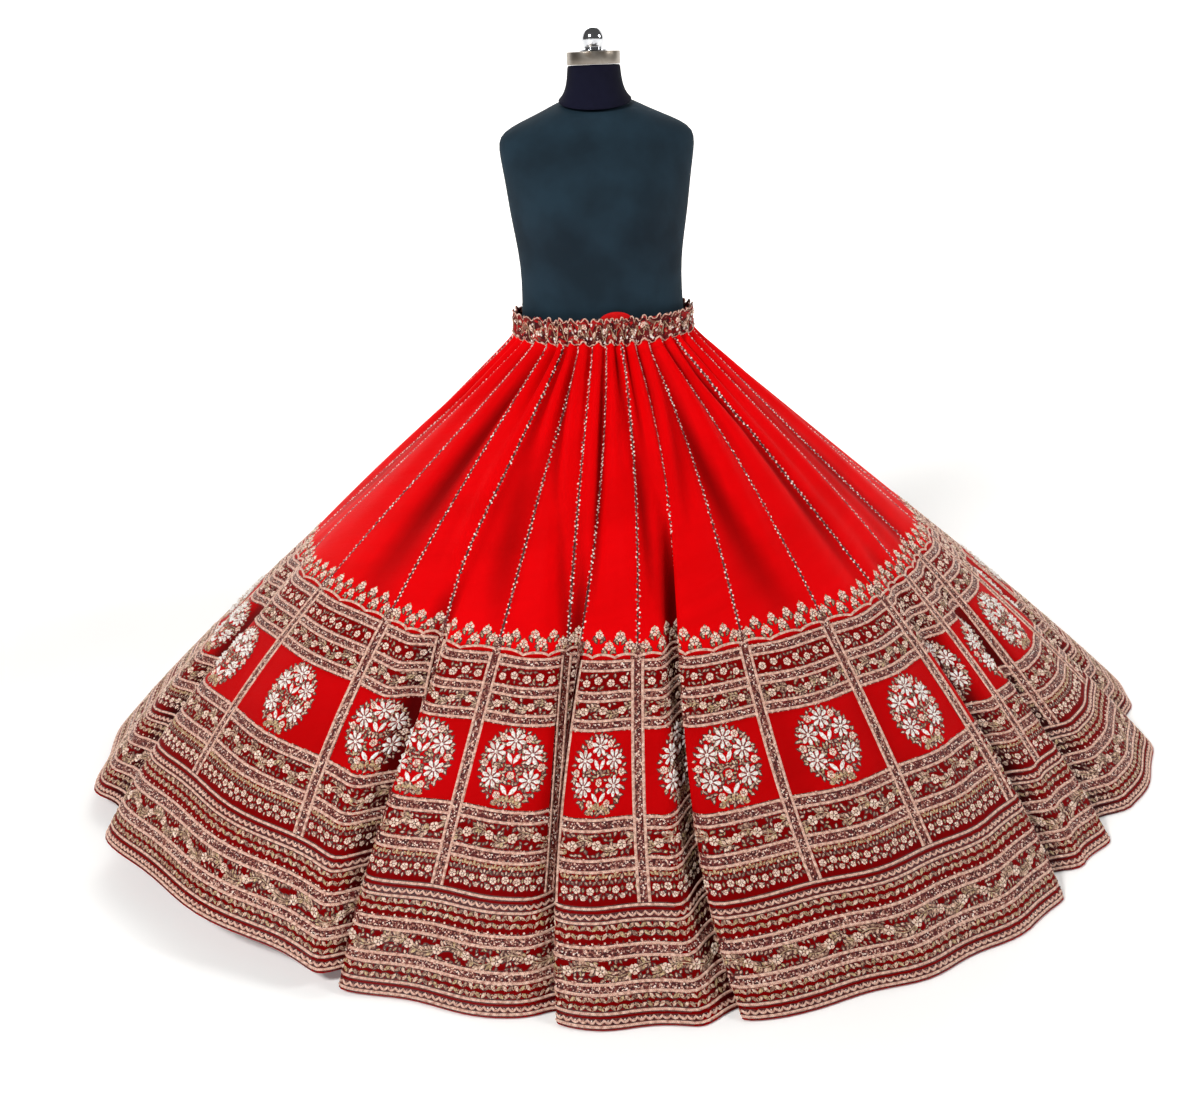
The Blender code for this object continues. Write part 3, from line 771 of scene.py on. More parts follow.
def couch(basket, u, t, half_width, height, shape=CORD_SHAPE, ring=False, cloth=silk):
    """A strip of the given section along the path (u, t) on a cloth; `t` may be one level."""
    u, t = np.broadcast_arrays(u, t)
    if ring:
        u, t = u[:-1], t[:-1]
    spine = cloth.above(u, t, 0.0)
    out = cloth.outward(u, t)
    if ring:
        ahead = np.roll(spine, -1, axis=0) - np.roll(spine, 1, axis=0)
    else:
        ahead = np.gradient(spine, axis=0)
    side = unit(np.cross(unit(ahead), out))
    rows = np.stack([spine + side * half_width * x + out * height * y for x, y in shape], 1)
    count, wide = rows.shape[:2]
    at = np.arange(count * wide).reshape(count, wide)
    if ring:
        at = np.concatenate([at, at[:1]])
    quads = quads_between(at)
    run = np.concatenate([[0], np.cumsum(np.linalg.norm(np.diff(spine, axis=0), axis=1))])
    across = np.array([x for x, _ in shape]) * half_width
    along = np.stack([np.repeat(run, wide), np.tile(across, count)], -1)
    drop(basket, rows.reshape(-1, 3), quads, along)


def sew(basket, motif, u, t, size, turn=0.0, lift=0.0, narrow=1.0, cloth=silk):
    """Copies of a motif with their middles at (u, t), `size` metres per unit, turned."""
    u, t, size, turn, narrow = (
        np.atleast_1d(x).astype(float) for x in np.broadcast_arrays(u, t, size, turn, narrow)
    )
    shape, faces = motif
    cos, sin = np.cos(turn)[:, None], np.sin(turn)[:, None]
    over = (size * narrow)[:, None] * (cos * shape[:, 0] - sin * shape[:, 1])
    down = size[:, None] * (sin * shape[:, 0] + cos * shape[:, 1])
    places = np.empty_like(over)
    for level in np.unique(t):
        here = t == level
        places[here] = cloth.sideways(np.repeat(u[here][:, None], over.shape[1], 1), level, over[here])
    levels = np.clip(t[:, None] + down / cloth.length, 0, LAST_LEVEL)
    points = cloth.above(places, levels, size[:, None] * shape[:, 2] + lift)
    count = len(shape)
    several = (faces[None] + count * np.arange(len(u))[:, None, None]).reshape(-1, faces.shape[1])
    drop(basket, points.reshape(-1, 3), several)


print("cord section:", CORD_SHAPE)


# %% Motifs: petals, leaves, buds and beads
RIM_SINK = -0.06          # a motif's rim goes just under the cloth, so no gap shows


def mound(rim, top):
    """A low mound: a closed rim of (x, y) points on the cloth and a crest of (x, y, z)."""
    rim, top = np.array(rim, float), np.array(top, float)
    n = len(rim)
    points = np.concatenate([np.column_stack([rim, np.full(n, RIM_SINK)]), top])
    middles = (rim + np.roll(rim, -1, axis=0)) / 2
    nearest = [int(np.argmin(np.linalg.norm(top[:, :2] - middle, axis=1))) for middle in middles]
    faces = []
    for i in range(n):
        faces.append((i, (i + 1) % n, n + nearest[i]))
        if nearest[i] != nearest[i - 1]:
            faces.append((n + nearest[i - 1], i, n + nearest[i]))
    faces = np.array(faces)
    a, b, c = (points[faces[:, k]] for k in range(3))
    away = np.cross(b - a, c - a)[:, 2] < 0
    faces[away] = faces[away][:, ::-1]
    return points, faces


def joined(*motifs):
    points, faces, count = [], [], 0
    for shape, triangles in motifs:
        points.append(shape)
        faces.append(triangles + count)
        count += len(shape)
    return np.concatenate(points), np.concatenate(faces)


def moved(motif, x=0.0, y=0.0, turn=0.0, size=1.0):
    """A motif turned, scaled and shifted in its own flat plane."""
    points = motif[0] * size
    cos, sin = np.cos(turn), np.sin(turn)
    over, down, up = points.T
    return np.stack([cos * over - sin * down + x, sin * over + cos * down + y, up], -1), motif[1]


def blade(foot, side, tip, crest):
    """A mound with a pointed foot and tip on the y axis and two mirrored sides."""
    mirrored = [(-x, y) for x, y in side[::-1]]
    return mound([(0, foot), *side, (0, tip), *mirrored], (crest,))


def petal(inner, half, height):
    """A petal that points down the y axis, with its tip one unit from the middle."""
    wide = inner * 0.4 + 0.6
    return blade(inner, [(half * 0.8, wide), (half * 0.55, 0.95)], 1.0, (0, wide, height))


def disc(sides, reach, height):
    """A low cone on a rim of a few sides."""
    rim = [(reach * np.cos(a), reach * np.sin(a)) for a in np.linspace(0, 2 * np.pi, sides + 1)[:-1]]
    return mound(rim, ((0, 0, height),))


def flower(petals, inner, half, height, eye):
    """Petals in a ring about a raised eye."""
    ring = [moved(petal(inner, half, height), turn=2 * np.pi * k / petals) for k in range(petals)]
    return joined(*ring, disc(5, eye, height * 1.25))


SMALL_FLOWER = flower(5, 0.20, 0.60, 0.34, 0.24)
LARGE_FLOWER = flower(8, 0.20, 0.25, 0.20, 0.21)
LEAF = blade(-1, [(0.46, -0.35), (0.40, 0.30)], 1, (0, -0.25, 0.24))
BUD = blade(-1, [(0.34, -0.45), (0.36, 0.3)], 1, (0, 0.05, 0.4))
LEAF_BACKING = blade(-1.3, [(0.82, -0.1)], 1.3, (0, -0.1, 0.0))
HALO = disc(8, 1, 0.03)
SPRIG = joined(moved(LEAF, 0, 0.55, 0, 0.62), *(
    moved(LEAF, side * 0.52, 0.34, -side * 0.85, 0.56) for side in (1, -1)
))
BEAD = disc(5, 1, 1.0)
for name, motif in {"small flower": SMALL_FLOWER, "large flower": LARGE_FLOWER, "leaf": LEAF}.items():
    print(name, len(motif[1]), "triangles")

# %% [markdown]
# ## The border
#
# From knee to hem the kalis carry the same border. Down each seam runs a strip: a core of
# dark beads between two cords. Between the strips lie framed rows: bands of beads edged
# with cord, a row of small flowers, rows of trailing vine, and a square of plain silk
# with a bouquet. Below that the rows run round the whole hem. Each level is a share of
# the length, so one table sets the layout, and the rows bend with the folds.

# %% Levels of the border
STRIP_TOP, STRIP_FOOT = 0.5275, 0.851
SEAM_LINE = (0.010, 0.505)  # the sequins above the border
CORE_TOP = 0.503
STRIP_HALF = 0.0074       # from a seam to the middle of each cord beside it
CORD_HALF = 0.0021
CORD_RISE = 0.0016
PAINTED_CORD_SHADOW = 0.0014           # painted shadow: a dark margin beside a cord
BACKING_RISE = 0.0004
PANEL_BANDS = ((0.529, 0.5415), (0.572, 0.5835), (0.611, 0.6235), (0.7425, 0.7565), (0.7945, 0.8085))
HEM_BANDS = ((0.901, 0.915), (0.946, 0.958))
HEM_CORDS = (0.8535, 0.8715, 0.9805, 0.9958)
HEM_WAVES = ((0.8640, 0.0046, 0.0118), (0.9898, 0.0040, 0.0110))   # level, height, length of a scallop
CROWN, FLOWERS, SQUARES, SPRIGS = 0.507, 0.557, 0.6825, 0.8300
# One row per vine: its level, half its height, the length of a whole wave, and the gap at a seam.
VINES = ((0.5975, 0.0125, 0.056, 0.0095), (0.7755, 0.0165, 0.066, 0.0095), (0.9305, 0.0150, 0.084, 0.0))
# One row per pair of leaf lines: level, each line's y, leaf size, spacing, and the y of beads.
LEAF_LINES = (
    (0.8863, (-0.0088, 0.0024), 0.0070, 0.0082, (0.0110,)),
    (0.9695, (-0.0058, 0.0052), 0.0066, 0.0080, ()),
)
BEAD_PITCH = 0.0021
BEAD_SIZES = 0.0009, 0.0016
SEQUIN_PITCH = 0.0043
SEAMS = np.arange(-KALIS / 2, KALIS / 2)
chance = np.random.default_rng(7)


def panel_path(seam, t, inset=STRIP_HALF):
    """Places across one kali at level t, from the cord of one strip to the cord of the next."""
    low = silk.sideways(seam, t, inset)
    high = silk.sideways(seam + 1, t, -inset)
    high = high if high > low else high + KALIS
    inside = silk.u[(silk.u > low + 0.02) & (silk.u < high - 0.02)]
    return np.concatenate([[low], inside, [high]])


print(len(PANEL_BANDS), "bands in a panel,", len(HEM_BANDS), "round the hem")

# %% Cords and bead bands
def band_of_beads(path, low, high, ring=False):
    """Two cords on a filled strip a little wider than the pair, its margins painted shadow, and beads
    scattered between them.
    """
    middle = (low + high) / 2
    for level in (low, high):
        couch("cords", path, level, CORD_HALF, CORD_RISE, ring=ring)
    half = (high - low) / 2 * silk.length - CORD_HALF * 0.6
    # The filling reaches past each cord; that dark margin is painted shadow.
    backed = (high - low) / 2 * silk.length + CORD_HALF + PAINTED_CORD_SHADOW
    couch("filling", path, middle, backed, 0.0006, FLAT_SHAPE, ring=ring)
    long = silk.girth_at(middle)[-1] if ring else silk.width(path[0], path[-1], middle)
    count = int(long / BEAD_PITCH)
    reach = (np.arange(count) + chance.uniform(0.2, 0.8, count)) / count * long
    place = silk.sideways(float(path[0]), middle, reach)
    level = middle + chance.uniform(-0.7, 0.7, count) * half / silk.length
    sew_beads(place, level, chance.uniform(*BEAD_SIZES, count))


def sew_beads(u, t, size, basket="beads"):
    """Beads, which are small enough to lie flat on one facet of the cloth."""
    shape, faces = BEAD
    out, seat = silk.outward(u, t), silk.above(u, t, BACKING_RISE)
    side = unit(np.cross(out, (0, 0, 1.0)))
    down = np.cross(side, out)
    x, y, z = shape.T[:, None, :, None]
    side, down, out, size = side[:, None], down[:, None], out[:, None], size[:, None, None]
    points = seat[:, None] + size * (side * x + down * y + out * z * 0.8)
    several = (faces[None] + len(shape) * np.arange(len(u))[:, None, None]).reshape(-1, 3)
    drop(basket, points.reshape(-1, 3), several)


def sew_down(seam, level, reach, size, basket="beads"):
    """Beads down a seam, each `reach` metres to its side."""
    sew_beads(np.array([silk.sideways(seam, *pair) for pair in zip(level, reach)]), level, size, basket)


for seam in SEAMS:
    for low, high in PANEL_BANDS:
        band_of_beads(panel_path(seam, (low + high) / 2), low, high)
for low, high in HEM_BANDS:
    band_of_beads(silk.u, low, high, ring=True)
for level in HEM_CORDS:
    # A dark strip under each hem cord, wider than the cord: its margins are painted shadow.
    couch("halos", silk.u, level, CORD_HALF + PAINTED_CORD_SHADOW, BACKING_RISE, FLAT_SHAPE, ring=True)
    couch("cords", silk.u, level, CORD_HALF * 0.9, CORD_RISE, ring=True)
for level, swing, wave in HEM_WAVES:
    couch("halos", silk.u, level, swing / 2 + CORD_HALF, BACKING_RISE, FLAT_SHAPE, ring=True)
    girth = silk.girth_at(level)
    waves = round(girth[-1] / wave)
    share = np.linspace(0, 1, waves * 6 + 1)
    place = np.interp(share * girth[-1], girth, silk.u)
    scallop = np.abs(np.sin(np.pi * waves * share)) - 0.5
    couch("cords", place, level + swing / silk.length * scallop, 0.0016, 0.0015, ring=True)
    between = np.interp((np.arange(waves) + 0.5) / waves * girth[-1], girth, silk.u)
    sew_beads(between, np.full(waves, level - 0.25 * swing / silk.length), np.full(waves, 0.0013))
print("cord faces:", sum(len(part) for part in BASKETS["cords"]["faces"]))

# %% Strips down the seams, and the thin bead lines above them
strip_t = np.linspace(STRIP_TOP, STRIP_FOOT, 44)
core_t = np.linspace(CORE_TOP, STRIP_FOOT, 48)
line_t = np.linspace(*SEAM_LINE, 60)
for seam in SEAMS:
    for side in (-1, 1):
        edge = np.array([silk.sideways(seam, level, side * STRIP_HALF) for level in strip_t])
        edge = seam + round_place(edge, seam)
        couch("cords", edge, strip_t, CORD_HALF * 1.05, CORD_RISE * 1.1)
    # The core's filling reaches past both cords; that dark margin is painted shadow.
    couch("filling", seam, core_t, STRIP_HALF + CORD_HALF + PAINTED_CORD_SHADOW, 0.0005, FLAT_SHAPE)
    count = int((STRIP_FOOT - CORE_TOP) * silk.length / 0.0022)
    level = CORE_TOP + (np.arange(count) + 0.5) / count * (STRIP_FOOT - CORE_TOP)
    reach = chance.uniform(-0.0042, 0.0042, count)
    sew_down(seam, level, reach, chance.uniform(*BEAD_SIZES, count))
    # Above the border the seam carries a zigzag of 4 mm sequins on a fine dark thread.
    couch("halos", seam, line_t, 0.0018, BACKING_RISE, FLAT_SHAPE)
    count = int((SEAM_LINE[1] - SEAM_LINE[0]) * silk.length / SEQUIN_PITCH)
    level = np.linspace(*SEAM_LINE, count) + chance.uniform(-0.0013, 0.0013, count)
    zigzag = np.where(np.arange(count) % 2, 1, -1) * (0.0014 + 0.0012 * level)
    reach = zigzag + chance.normal(0, 0.0006, count)
    sew_down(seam, level, reach, chance.uniform(0.0014, 0.0022, count), "seam_beads")

# %% [markdown]
# ## Flowers, vines and bouquets
#
# The motifs are ordinary garden ones: five-petalled flowers, trailing stems with leaves,
# hanging sprigs, and in each square of silk a bouquet of eight-petalled flowers about two
# pairs of buds. Each row is laid kali by kali, with its spacing fitted to the width that
# the kali has there, and with a little unevenness, as hand work has.

# %% Rows of flowers and leaves
LEAF_SHARE = 0.78         # a leaf against the backing that outlines it
HALO_SHARE = 1.34         # a small flower's backing against the flower
LEVEL_STEP = 0.0007       # heights in a row are rounded to this, so that many share one level


def kali_width(seam, t):
    return silk.width(seam, seam + 1, t)


def turns(count):
    """1, -1, 1, -1 and so on."""
    return (-1.0) ** np.arange(count)


def lay(seam, middle, basket, motif, x, y, size, turn=0.0, lift=0.0):
    """Motifs at x metres along the cloth from a seam, and y metres below a row's middle.

    A leaf gets a dark backing that shows round it as an outline.
    """
    x, y = np.broadcast_arrays(np.atleast_1d(x).astype(float), y)
    level = middle + np.round(y / LEVEL_STEP) * LEVEL_STEP / silk.length
    place = silk.sideways(seam, middle, x)
    if motif is LEAF:
        sew("leaf_backing", LEAF_BACKING, place, level, size, turn, 0.0003)
        size, lift = LEAF_SHARE * size, lift + 0.0005
    sew(basket, motif, place, level, size, turn, lift)


def small_flowers(seam, middle, x, y, size):
    """Cream flowers, each on a patch of dark backing stitches that shows round its petals."""
    lay(seam, middle, "halos", HALO, x, y, size * HALO_SHARE)
    lay(seam, middle, "cream_flowers", SMALL_FLOWER, x, y, size, chance.uniform(0, 1.25, len(x)), 0.0003)


def picked(kind, olive, cream, gold):
    """Which leaves are of which thread: each number is where that thread's share ends."""
    return (
        ("olive_leaves", kind < olive), ("cream_leaves", (kind >= olive) & (kind < cream)),
        ("gold_leaves", (kind >= cream) & (kind < gold)),
    )


def tuck_leaves(seam, middle, x0, x1, half, taken, step=0.0068, size=0.0036, inside=None, backing=0.0):
    """Small leaves at every angle on an uneven grid, wherever no flower is: taken holds (x, y, reach)."""
    columns, rows = max(1, round((x1 - x0) / step)), max(1, round(2 * half / step))
    x, y = np.meshgrid((np.arange(columns) + 0.5) / columns, (np.arange(rows) + 0.5) / rows)
    x = x0 + (x1 - x0) * x + step * chance.uniform(-0.34, 0.34, x.shape)
    y = half * (2 * y - 1) + step * chance.uniform(-0.26, 0.26, y.shape)
    free = np.ones(x.shape, bool) if inside is None else inside(x, y)
    for spot_x, spot_y, reach in taken:
        free &= np.hypot(x - spot_x, y - spot_y) > reach
    x, y = x[free], y[free]
    if backing:
        lay(seam, middle, "halos", HALO, x, y, backing)
    for name, here in picked(chance.random(len(x)), 0.34, 0.76, 0.94):
        count = int(here.sum())
        lay(seam, middle, name, LEAF, x[here], y[here], size * chance.uniform(0.8, 1.25, count),
            chance.uniform(-1.5, 1.5, count))


def even_places(seam, middle, spacing, inset, least, uneven=0.0):
    """Evenly spaced x along one kali, with roughly the spacing asked for."""
    width = kali_width(seam, middle) - 2 * inset
    count = max(least, round(width / spacing))
    gap = width / count
    return inset + (np.arange(count) + 0.5) * gap + uneven * gap * chance.uniform(-1, 1, count), gap


def beside(seam, place):
    """Places brought to the same round as the kali that starts at `seam`."""
    return seam + 0.5 + round_place(place, seam + 0.5)


def crown_row(seam):
    """Bunches of round flowers and leaves in two heights over the scalloped line that tops the border."""
    put = partial(lay, seam, CROWN)
    x, gap = even_places(seam, CROWN, 0.0150, 0.004, 5, 0.10)
    y = np.where(np.arange(len(x)) % 2, -0.0160, -0.0015) + chance.normal(0, 0.0016, len(x))
    size = chance.uniform(0.0062, 0.0082, len(x))
    for side in (-1, 1):
        put("olive_leaves", LEAF, x + side * 0.0066, y + 0.0048, 0.0048, -side * 0.8)
        put("gold_leaves", LEAF, x + side * 0.0046, y + 0.0098, 0.0046, side * 0.5)
    put("gold_leaves", BEAD, x, y - size - 0.0006, 0.0017)
    small_flowers(seam, CROWN, x, y, size)
    between = x + gap / 2
    put("cream_flowers", BEAD, between, 0.0045, 0.0022)
    put("olive_leaves", LEAF, between, 0.0090, 0.0038, chance.uniform(-1.2, 1.2, len(x)))
    share = np.linspace(0, 1, 31)
    path = panel_path(seam, 0.5215, 0.0010)
    fine = np.interp(share, np.linspace(0, 1, len(path)), path)
    couch("cords", fine, 0.5235 - 0.0048 * np.abs(np.sin(np.pi * 3 * share)) ** 0.7, CORD_HALF, CORD_RISE)


def flower_row(seam):
    x, _ = even_places(seam, FLOWERS, 0.0205, 0.0110, 3, 0.08)
    y = 0.0020 * turns(len(x))
    size = chance.uniform(0.0056, 0.0066, len(x))
    taken = list(zip(x, y, size + 0.0030))
    tuck_leaves(seam, FLOWERS, 0.0105, kali_width(seam, FLOWERS) - 0.0105, 0.0115, taken, 0.0064)
    small_flowers(seam, FLOWERS, x, y, size)


def vine_row(seam, middle, half, wave, inset):
    """A wandering stem with a flower in each bend, pairs of leaves along it and tendrils between."""
    width = kali_width(seam, middle) - 2 * inset
    bends = max(2, round(width / (wave / 2)))
    share = np.linspace(0, 1, bends * 10 + 1)
    swing = half * 0.52
    x, y = inset + share * width, swing * np.cos(np.pi * bends * share)
    place = beside(seam, silk.sideways(seam, middle, x))
    couch("stems", place, middle + y / silk.length, 0.0010, 0.0013, STEM_SHAPE)
    bend = (np.arange(bends) + 0.5) / bends
    pairs = max(6, int(wave / 2 / 0.0042))
    where = np.tile((np.arange(pairs) + 0.5) / pairs - 0.5, bends)
    leaf_x = np.repeat(bend, pairs) + where / bends
    stem_y = np.interp(leaf_x, share, y)
    leaf_x = inset + leaf_x * width + chance.normal(0, 0.0006, len(leaf_x))
    for side in (-1, 1):
        lean = side * (0.75 + chance.normal(0, 0.25, len(leaf_x)))
        leaf_y = stem_y + side * half * (0.30 + chance.uniform(-0.05, 0.05, len(leaf_x)))
        size = half * chance.uniform(0.30, 0.44, len(leaf_x))
        clear = (np.abs(where) > 0.20 / max(1.0, wave / 0.05)) & (np.abs(leaf_y) < half)
        for name, here in picked(chance.random(len(leaf_x)), 0.42, 0.84, 1):
            here = clear & here
            lay(seam, middle, name, LEAF, leaf_x[here], leaf_y[here], size[here], lean[here])
    spot = inset + bend * width
    size = np.minimum(half * 0.49, 0.0072) * chance.uniform(0.92, 1.08, bends)
    taken = [(x, y, 0.0062) for x, y in zip(leaf_x, stem_y)]
    taken += [(x, 0, reach + 0.004) for x, reach in zip(spot, size)]
    tuck_leaves(seam, middle, inset, inset + width, half, taken, 0.0070, 0.0038)
    small_flowers(seam, middle, spot, 0.10 * swing * turns(bends), size)


def hanging_row(seam):
    """Sprigs that hang from a band with a flower under each, and leaves and a bead between them."""
    put = partial(lay, seam, SPRIGS)
    x, gap = even_places(seam, SPRIGS, 0.0168, 0.0100, 4, 0.06)
    size = chance.uniform(0.0048, 0.0057, len(x))
    y = 0.0012 + 0.0012 * turns(len(x))
    put("gold_leaves", SPRIG, x, -0.0142, 0.0088, np.pi)
    put("cream_leaves", LEAF, x, -0.0095, 0.0036)
    put("cream_leaves", LEAF, x + gap / 2, -0.0150, 0.0050, 0.2)
    for side in (-1, 1):
        put("olive_leaves", LEAF, x + side * gap * 0.30, -0.0085, 0.0042, side * 0.7)
        put("olive_leaves", LEAF, x + side * 0.0056, y + 0.0082, 0.0040, -side * 0.8)
    put("gold_leaves", LEAF, x + gap / 2, 0.0010, 0.0040)
    put("cream_leaves", LEAF, x, y + 0.0115, 0.0034)
    small_flowers(seam, SPRIGS, x, y, size)
    small_flowers(seam, SPRIGS, x[:-1] + gap / 2, 0.0112 + 0 * x[:-1], size[:-1] * 0.74)


def leaf_row(seam, middle, lines, size, spacing, dots):
    """Rows of leaves that lean left and right by turns, with beads between them."""
    put = partial(lay, seam, middle)
    x, gap = even_places(seam, middle, spacing, 0.0, 8)
    share = np.linspace(0, 1, 2 * len(x) + 1)
    place = beside(seam, silk.sideways(seam, middle, share * kali_width(seam, middle)))
    place[[0, -1]] = seam, seam + 1
    for row, y in enumerate(lines):
        level = middle + (y + 0.0020 * turns(len(share))) / silk.length
        couch("stems", place, level, 0.0006, 0.0009, STEM_SHAPE)
        lean = np.where((np.arange(len(x)) + row) % 2, 0.72, -0.72) + chance.normal(0, 0.12, len(x))
        for start, name in enumerate(("cream_leaves", "olive_leaves", "cream_leaves", "gold_leaves")):
            here = np.arange(start, len(x), 4)
            sizes = size * chance.uniform(0.88, 1.1, len(here))
            put(name, LEAF, x[here] + row * gap / 2, y, sizes, lean[here])
    for y in dots:
        put("cream_flowers", BEAD, x[::2] + gap / 2, y, 0.0018)
        put("halos", BEAD, x[1::2] + gap / 2, y, 0.0016)


# %% Bouquets
# The fold at u = 0.76 laps over the edge of kali 1, so its bouquet is sewn off centre.
BOUQUET_SHIFT = {1: 0.008}
# Places in millimetres from the middle of a bouquet, and a turn in radians.
LARGE_SPOTS = ((0, -41, 0.2), (-29, -20, 0), (29, -20, 0.4), (-29, 19, 0.3), (29, 19, 0.1))
SMALL_SPOTS = (
    (0, 12, 0), (-44, -1, 0.5), (44, -1, 0.2), (-21, -44, 0.3), (21, -44, 0.8),
    (-16, 43, 0.1), (16, 43, 0.6),
)
BUD_SPOTS = ((-5.5, -14, -0.5), (5.5, -14, 0.5), (-7, 34, -0.7), (7, 34, 0.7))
SPRIG_SPOTS = ((-11, 55, 2.4), (11, 55, -2.4), (0, 52, 3.14))


def bouquet(seam):
    """Eight-petalled flowers in an oval, buds and a small flower inside, leaves in every gap."""
    width = kali_width(seam, SQUARES)
    fit = float(np.clip((width - 0.034) / 0.108, 0.48, 0.98))
    centre = width / 2 + BOUQUET_SHIFT.get(seam, 0.0)

    def put(basket, motif, spots, size, lift=0.0):
        x, y, turn = np.array(spots, float).T
        level = SQUARES + y / 1000 / silk.length
        place = silk.sideways(seam, SQUARES, centre + fit * x / 1000)
        sew(basket, motif, place, level, size, turn, narrow=fit, lift=lift)

    taken = [
        (centre + fit * x / 1000, y / 1000, reach / 1000)
        for spots, reach in ((LARGE_SPOTS, 14.6), (SMALL_SPOTS, 8.0), (BUD_SPOTS, 8.5)) for x, y, _ in spots
    ]
    reach_x, reach_y = 0.0495 * fit, 0.0565
    tuck_leaves(
        seam, SQUARES, centre - reach_x, centre + reach_x, reach_y, taken, 0.0052, 0.0040,
        lambda x, y: np.hypot((x - centre) / reach_x, y / reach_y) < 1, 0.0050,
    )
    around = np.arange(0, 2 * np.pi, 0.196)
    lay(seam, SQUARES, "cream_leaves", LEAF, centre + (reach_x + 0.001) * np.sin(around),
        (reach_y + 0.001) * np.cos(around), 0.0042, -around + 0.5 * turns(len(around)))
    put("flower_backing", HALO, LARGE_SPOTS, 0.0160, 0.0006)
    put("silver_flowers", LARGE_FLOWER, LARGE_SPOTS, 0.0158, 0.0018)
    put("halos", HALO, BUD_SPOTS, 0.0092)
    put("white_buds", BUD, BUD_SPOTS, 0.0098, 0.0003)
    put("halos", HALO, SMALL_SPOTS, 0.0078)
    put("cream_flowers", SMALL_FLOWER, SMALL_SPOTS, 0.0060, 0.0003)
    put("gold_leaves", SPRIG, SPRIG_SPOTS, 0.0125)


for seam in SEAMS:
    crown_row(seam)
    flower_row(seam)
    for vine in VINES:
        vine_row(seam, *vine)
    hanging_row(seam)
    bouquet(seam)
    for line in LEAF_LINES:
        leaf_row(seam, *line)
print("baskets:", ", ".join(BASKETS))

# %% [markdown]
# ## Finishes of the needlework
#
# Gold cord is never one colour: the couching stitches dull it here and there. Its strands
# turn, so light and dark alternate every two millimetres, and that is painted into its
# colour as shade between the turns. The filling is a pavement of dark beads with a few
# bright ones, which cells of a Voronoi pattern give at the right scale; where it reaches
# past a cord, its dark margin is painted shadow. Both read the piece's own UV map, which
# is in metres. The flowers stand on a patch of dark backing thread, which is what makes
# each petal read from across a room.

# %% Cord, filling and bead finishes
def thread_finish(name, grain, dark, middle, light):
    """Metal-wrapped or rayon thread in satin stitch: dull, with a glint where it turns up.

    `grain` is cells a metre. Stitches are 0.4 mm wide and drawn about 3.5 mm, to be seen.
    """
    material, shader = new_finish(name, Roughness=0.55, Specular_IOR_Level=0.35)
    stitches = noise(material, in_space(material), grain, 2.0, Roughness=0.7)
    tint = blend_colours(material, stitches, (0.36, dark), (0.50, middle), (0.64, light))
    feed(shader, "Base Color", tint)
    bumpy(material, shader, stitches, 0.0006, 0.8)
    return material


# Zari cord of two metal-wrapped strands laid together: a warm shine that breaks up at each
# turn. A turn is 2 mm long (0.314 / 150) and leans 35 degrees; tarnish lies in 6 mm patches.
cord_finish, shader = new_finish("couched_cord", Roughness=0.5, Specular_IOR_Level=0.35)
along = along_cloth(cord_finish)
lean = add_node(cord_finish, "ShaderNodeMapping", Vector=along, Rotation=(0, 0, np.radians(35)))
twist = ribs(cord_finish, lean.outputs["Vector"], 150.0, Distortion=2.0)
patches = noise(cord_finish, along, 170.0, 2.0)
worn = blend_colours(cord_finish, patches, (0.30, "#aa7060"), (0.46, "#e0b09c"), (0.64, "#fedecb"))
# Painted shade: the colour darkens in the groove between turns of the twist.
deep = blend_colours(cord_finish, twist, (0.1, "#b08a70"), (0.5, "#ffffff"))
feed(shader, "Base Color", dimmed(cord_finish, worn, deep, 0.36))
bumpy(cord_finish, shader, twist, 0.0005, 0.8)

# Glass beads of about 2.4 mm (1 / 420) sewn side by side: most are dark, so the few pale
# ones seem to sparkle.
# Past a cord the filling's dark margin is painted shadow.
filling_finish, shader = new_finish("bead_filling_and_painted_shadow", Roughness=0.45, Specular_IOR_Level=0.25)
tint, from_middle = pebbles(
    filling_finish, along_cloth(filling_finish), 420.0, "Red",
    (0.0, "#2c0405"), (0.40, "#580c0e"), (0.66, "#782420"), (0.85, "#ac7260"), (0.96, "#f6d2be"),
    Randomness=0.9,
)
feed(shader, "Base Color", tint)
bumpy(filling_finish, shader, reckon(filling_finish, "SUBTRACT", 1.0, from_middle), 0.0010, 1.0)


def bead_colours(name, grain, *stops):
    """Cut glass and metal beads, glossy, each of one colour: a cell is wider than a bead."""
    finish, shader = new_finish(name, Roughness=0.32, Specular_IOR_Level=0.35)
    feed(shader, "Base Color", pebbles(finish, in_space(finish), grain, "Green", *stops)[0])
    return finish


THREADS = {
    "cords": cord_finish,
    "filling": filling_finish,
    "beads": bead_colours(
        "band_beads", 320.0,
        (0.0, "#4a0e0e"), (0.28, "#7c382c"), (0.50, "#b47e6c"), (0.72, "#e8c4b2"), (0.90, "#fff2e6")),
    "seam_beads": bead_colours(
        "seam_line_beads", 200.0,
        (0.0, "#6e1c20"), (0.26, "#a85c58"), (0.46, "#d89c92"), (0.68, "#f6ccc0"), (0.9, "#ffeee6")),
}
